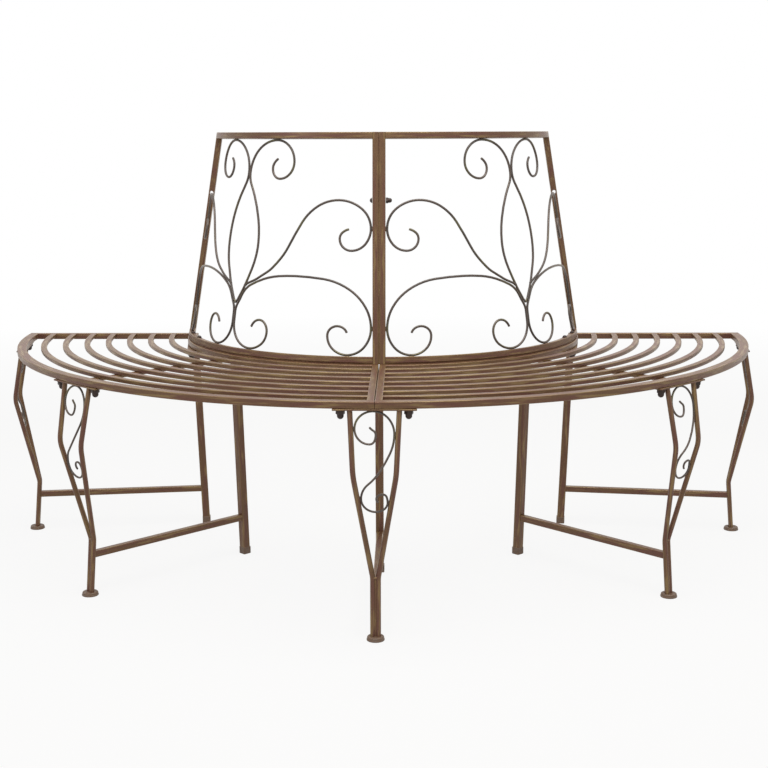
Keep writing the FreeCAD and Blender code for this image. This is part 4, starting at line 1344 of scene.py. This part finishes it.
class TREEBENCH_OT_stage(bpy.types.Operator):
    """Lay the floor, light the bench evenly and put the camera at the photograph's place."""

    bl_idname = "tree_bench.stage"
    bl_label = "Stage"

    def execute(self, context):
        scene = context.scene
        stage = scene.tree_bench_stage
        half = stage.floor_size / 2
        corners = [(-half, -half, 0), (half, -half, 0), (half, half, 0), (-half, half, 0)]
        mesh = bpy.data.meshes.new("floor")
        mesh.from_pydata(corners, [], [(0, 1, 2, 3)])
        mesh.materials.append(bpy.data.materials[FLOOR_PAPER])
        floor = bpy.data.objects.new("floor", mesh)
        scene.collection.objects.link(floor)

        world = bpy.data.worlds.new("white_studio")
        world.use_nodes = True
        tree = world.node_tree
        tree.nodes.clear()
        output = tree.nodes.new("ShaderNodeOutputWorld")
        inputs = {"Value": background_seen(tree), "To Min": stage.sky, "To Max": 1.0}
        strength = add_node(tree, "ShaderNodeMapRange", inputs)
        inputs = {"Color": (1, 1, 1, 1), "Strength": strength}
        light = add_node(tree, "ShaderNodeBackground", inputs)
        tree.links.new(light, output.inputs["Surface"])
        scene.world = world

        add_soft_box("top_soft_box", TOP_BOX, LIT_POINT, TOP_BOX_SIZE, stage.top_light)
        add_soft_box("left_soft_box", LEFT_BOX, LIT_POINT, LEFT_BOX_SIZE, stage.side_light)

        data = bpy.data.cameras.new("photo_camera")
        data.sensor_width = SENSOR_WIDTH
        data.lens = SENSOR_WIDTH * stage.focal_pixels / PHOTO_WIDTH
        data.clip_end = FURTHEST_VIEW
        camera = bpy.data.objects.new("photo_camera", data)
        scene.collection.objects.link(camera)
        right, up, forward = look_along(stage)
        place = np.array([stage.camera_right, -stage.camera_back, stage.camera_up])
        matrix = np.eye(4)
        matrix[:3, :4] = np.stack([right, up, -forward, place], axis=1)
        camera.matrix_world = Matrix(matrix.tolist())
        scene.camera = camera
        scene.view_settings.view_transform = "Standard"
        return {"FINISHED"}


class TREEBENCH_PT_panel(bpy.types.Panel):
    """The bench's operators and sizes in the sidebar."""

    bl_idname = "TREEBENCH_PT_panel"
    bl_label = "Tree bench"
    bl_space_type = "VIEW_3D"
    bl_region_type = "UI"
    bl_category = "Tree bench"

    def draw(self, context):
        for operator in OPERATORS:
            self.layout.operator(operator.bl_idname)
        for name in GROUPS:
            group = getattr(context.scene, name)
            box = self.layout.box()
            box.label(text=group.__doc__)
            for key in group.__annotations__:
                box.prop(group, key)


GROUPS = {
    "tree_bench_seat": TreeBenchSeat,
    "tree_bench_back": TreeBenchBack,
    "tree_bench_legs": TreeBenchLegs,
    "tree_bench_finish": TreeBenchFinish,
    "tree_bench_stage": TreeBenchStage,
}
OPERATORS = (
    TREEBENCH_OT_finishes,
    TREEBENCH_OT_rims,
    TREEBENCH_OT_rails,
    TREEBENCH_OT_slats,
    TREEBENCH_OT_back_rails,
    TREEBENCH_OT_posts,
    TREEBENCH_OT_scrollwork,
    TREEBENCH_OT_leg_bars,
    TREEBENCH_OT_inner_legs,
    TREEBENCH_OT_plates,
    TREEBENCH_OT_foot_caps,
    TREEBENCH_OT_bolts,
    TREEBENCH_OT_stage,
)


def register():
    """Register the classes and hang the sizes on the scene."""
    for name, group in GROUPS.items():
        bpy.utils.register_class(group)
        setattr(bpy.types.Scene, name, PointerProperty(type=group))
    for kind in (*OPERATORS, TREEBENCH_PT_panel):
        bpy.utils.register_class(kind)


def unregister():
    """Take the sizes off the scene and unregister the classes."""
    for kind in (TREEBENCH_PT_panel, *reversed(OPERATORS)):
        bpy.utils.unregister_class(kind)
    for name, group in reversed(GROUPS.items()):
        delattr(bpy.types.Scene, name)
        bpy.utils.unregister_class(group)


def main():
    """Build the bench and its stage."""
    register()
    bpy.ops.tree_bench.finishes()
    bpy.ops.tree_bench.rims()
    bpy.ops.tree_bench.rails()
    bpy.ops.tree_bench.slats()
    bpy.ops.tree_bench.back_rails()
    bpy.ops.tree_bench.posts()
    bpy.ops.tree_bench.scrollwork()
    bpy.ops.tree_bench.leg_bars()
    bpy.ops.tree_bench.inner_legs()
    bpy.ops.tree_bench.plates()
    bpy.ops.tree_bench.foot_caps()
    bpy.ops.tree_bench.bolts()
    bpy.ops.tree_bench.stage()


if __name__ == "__main__":
    main()
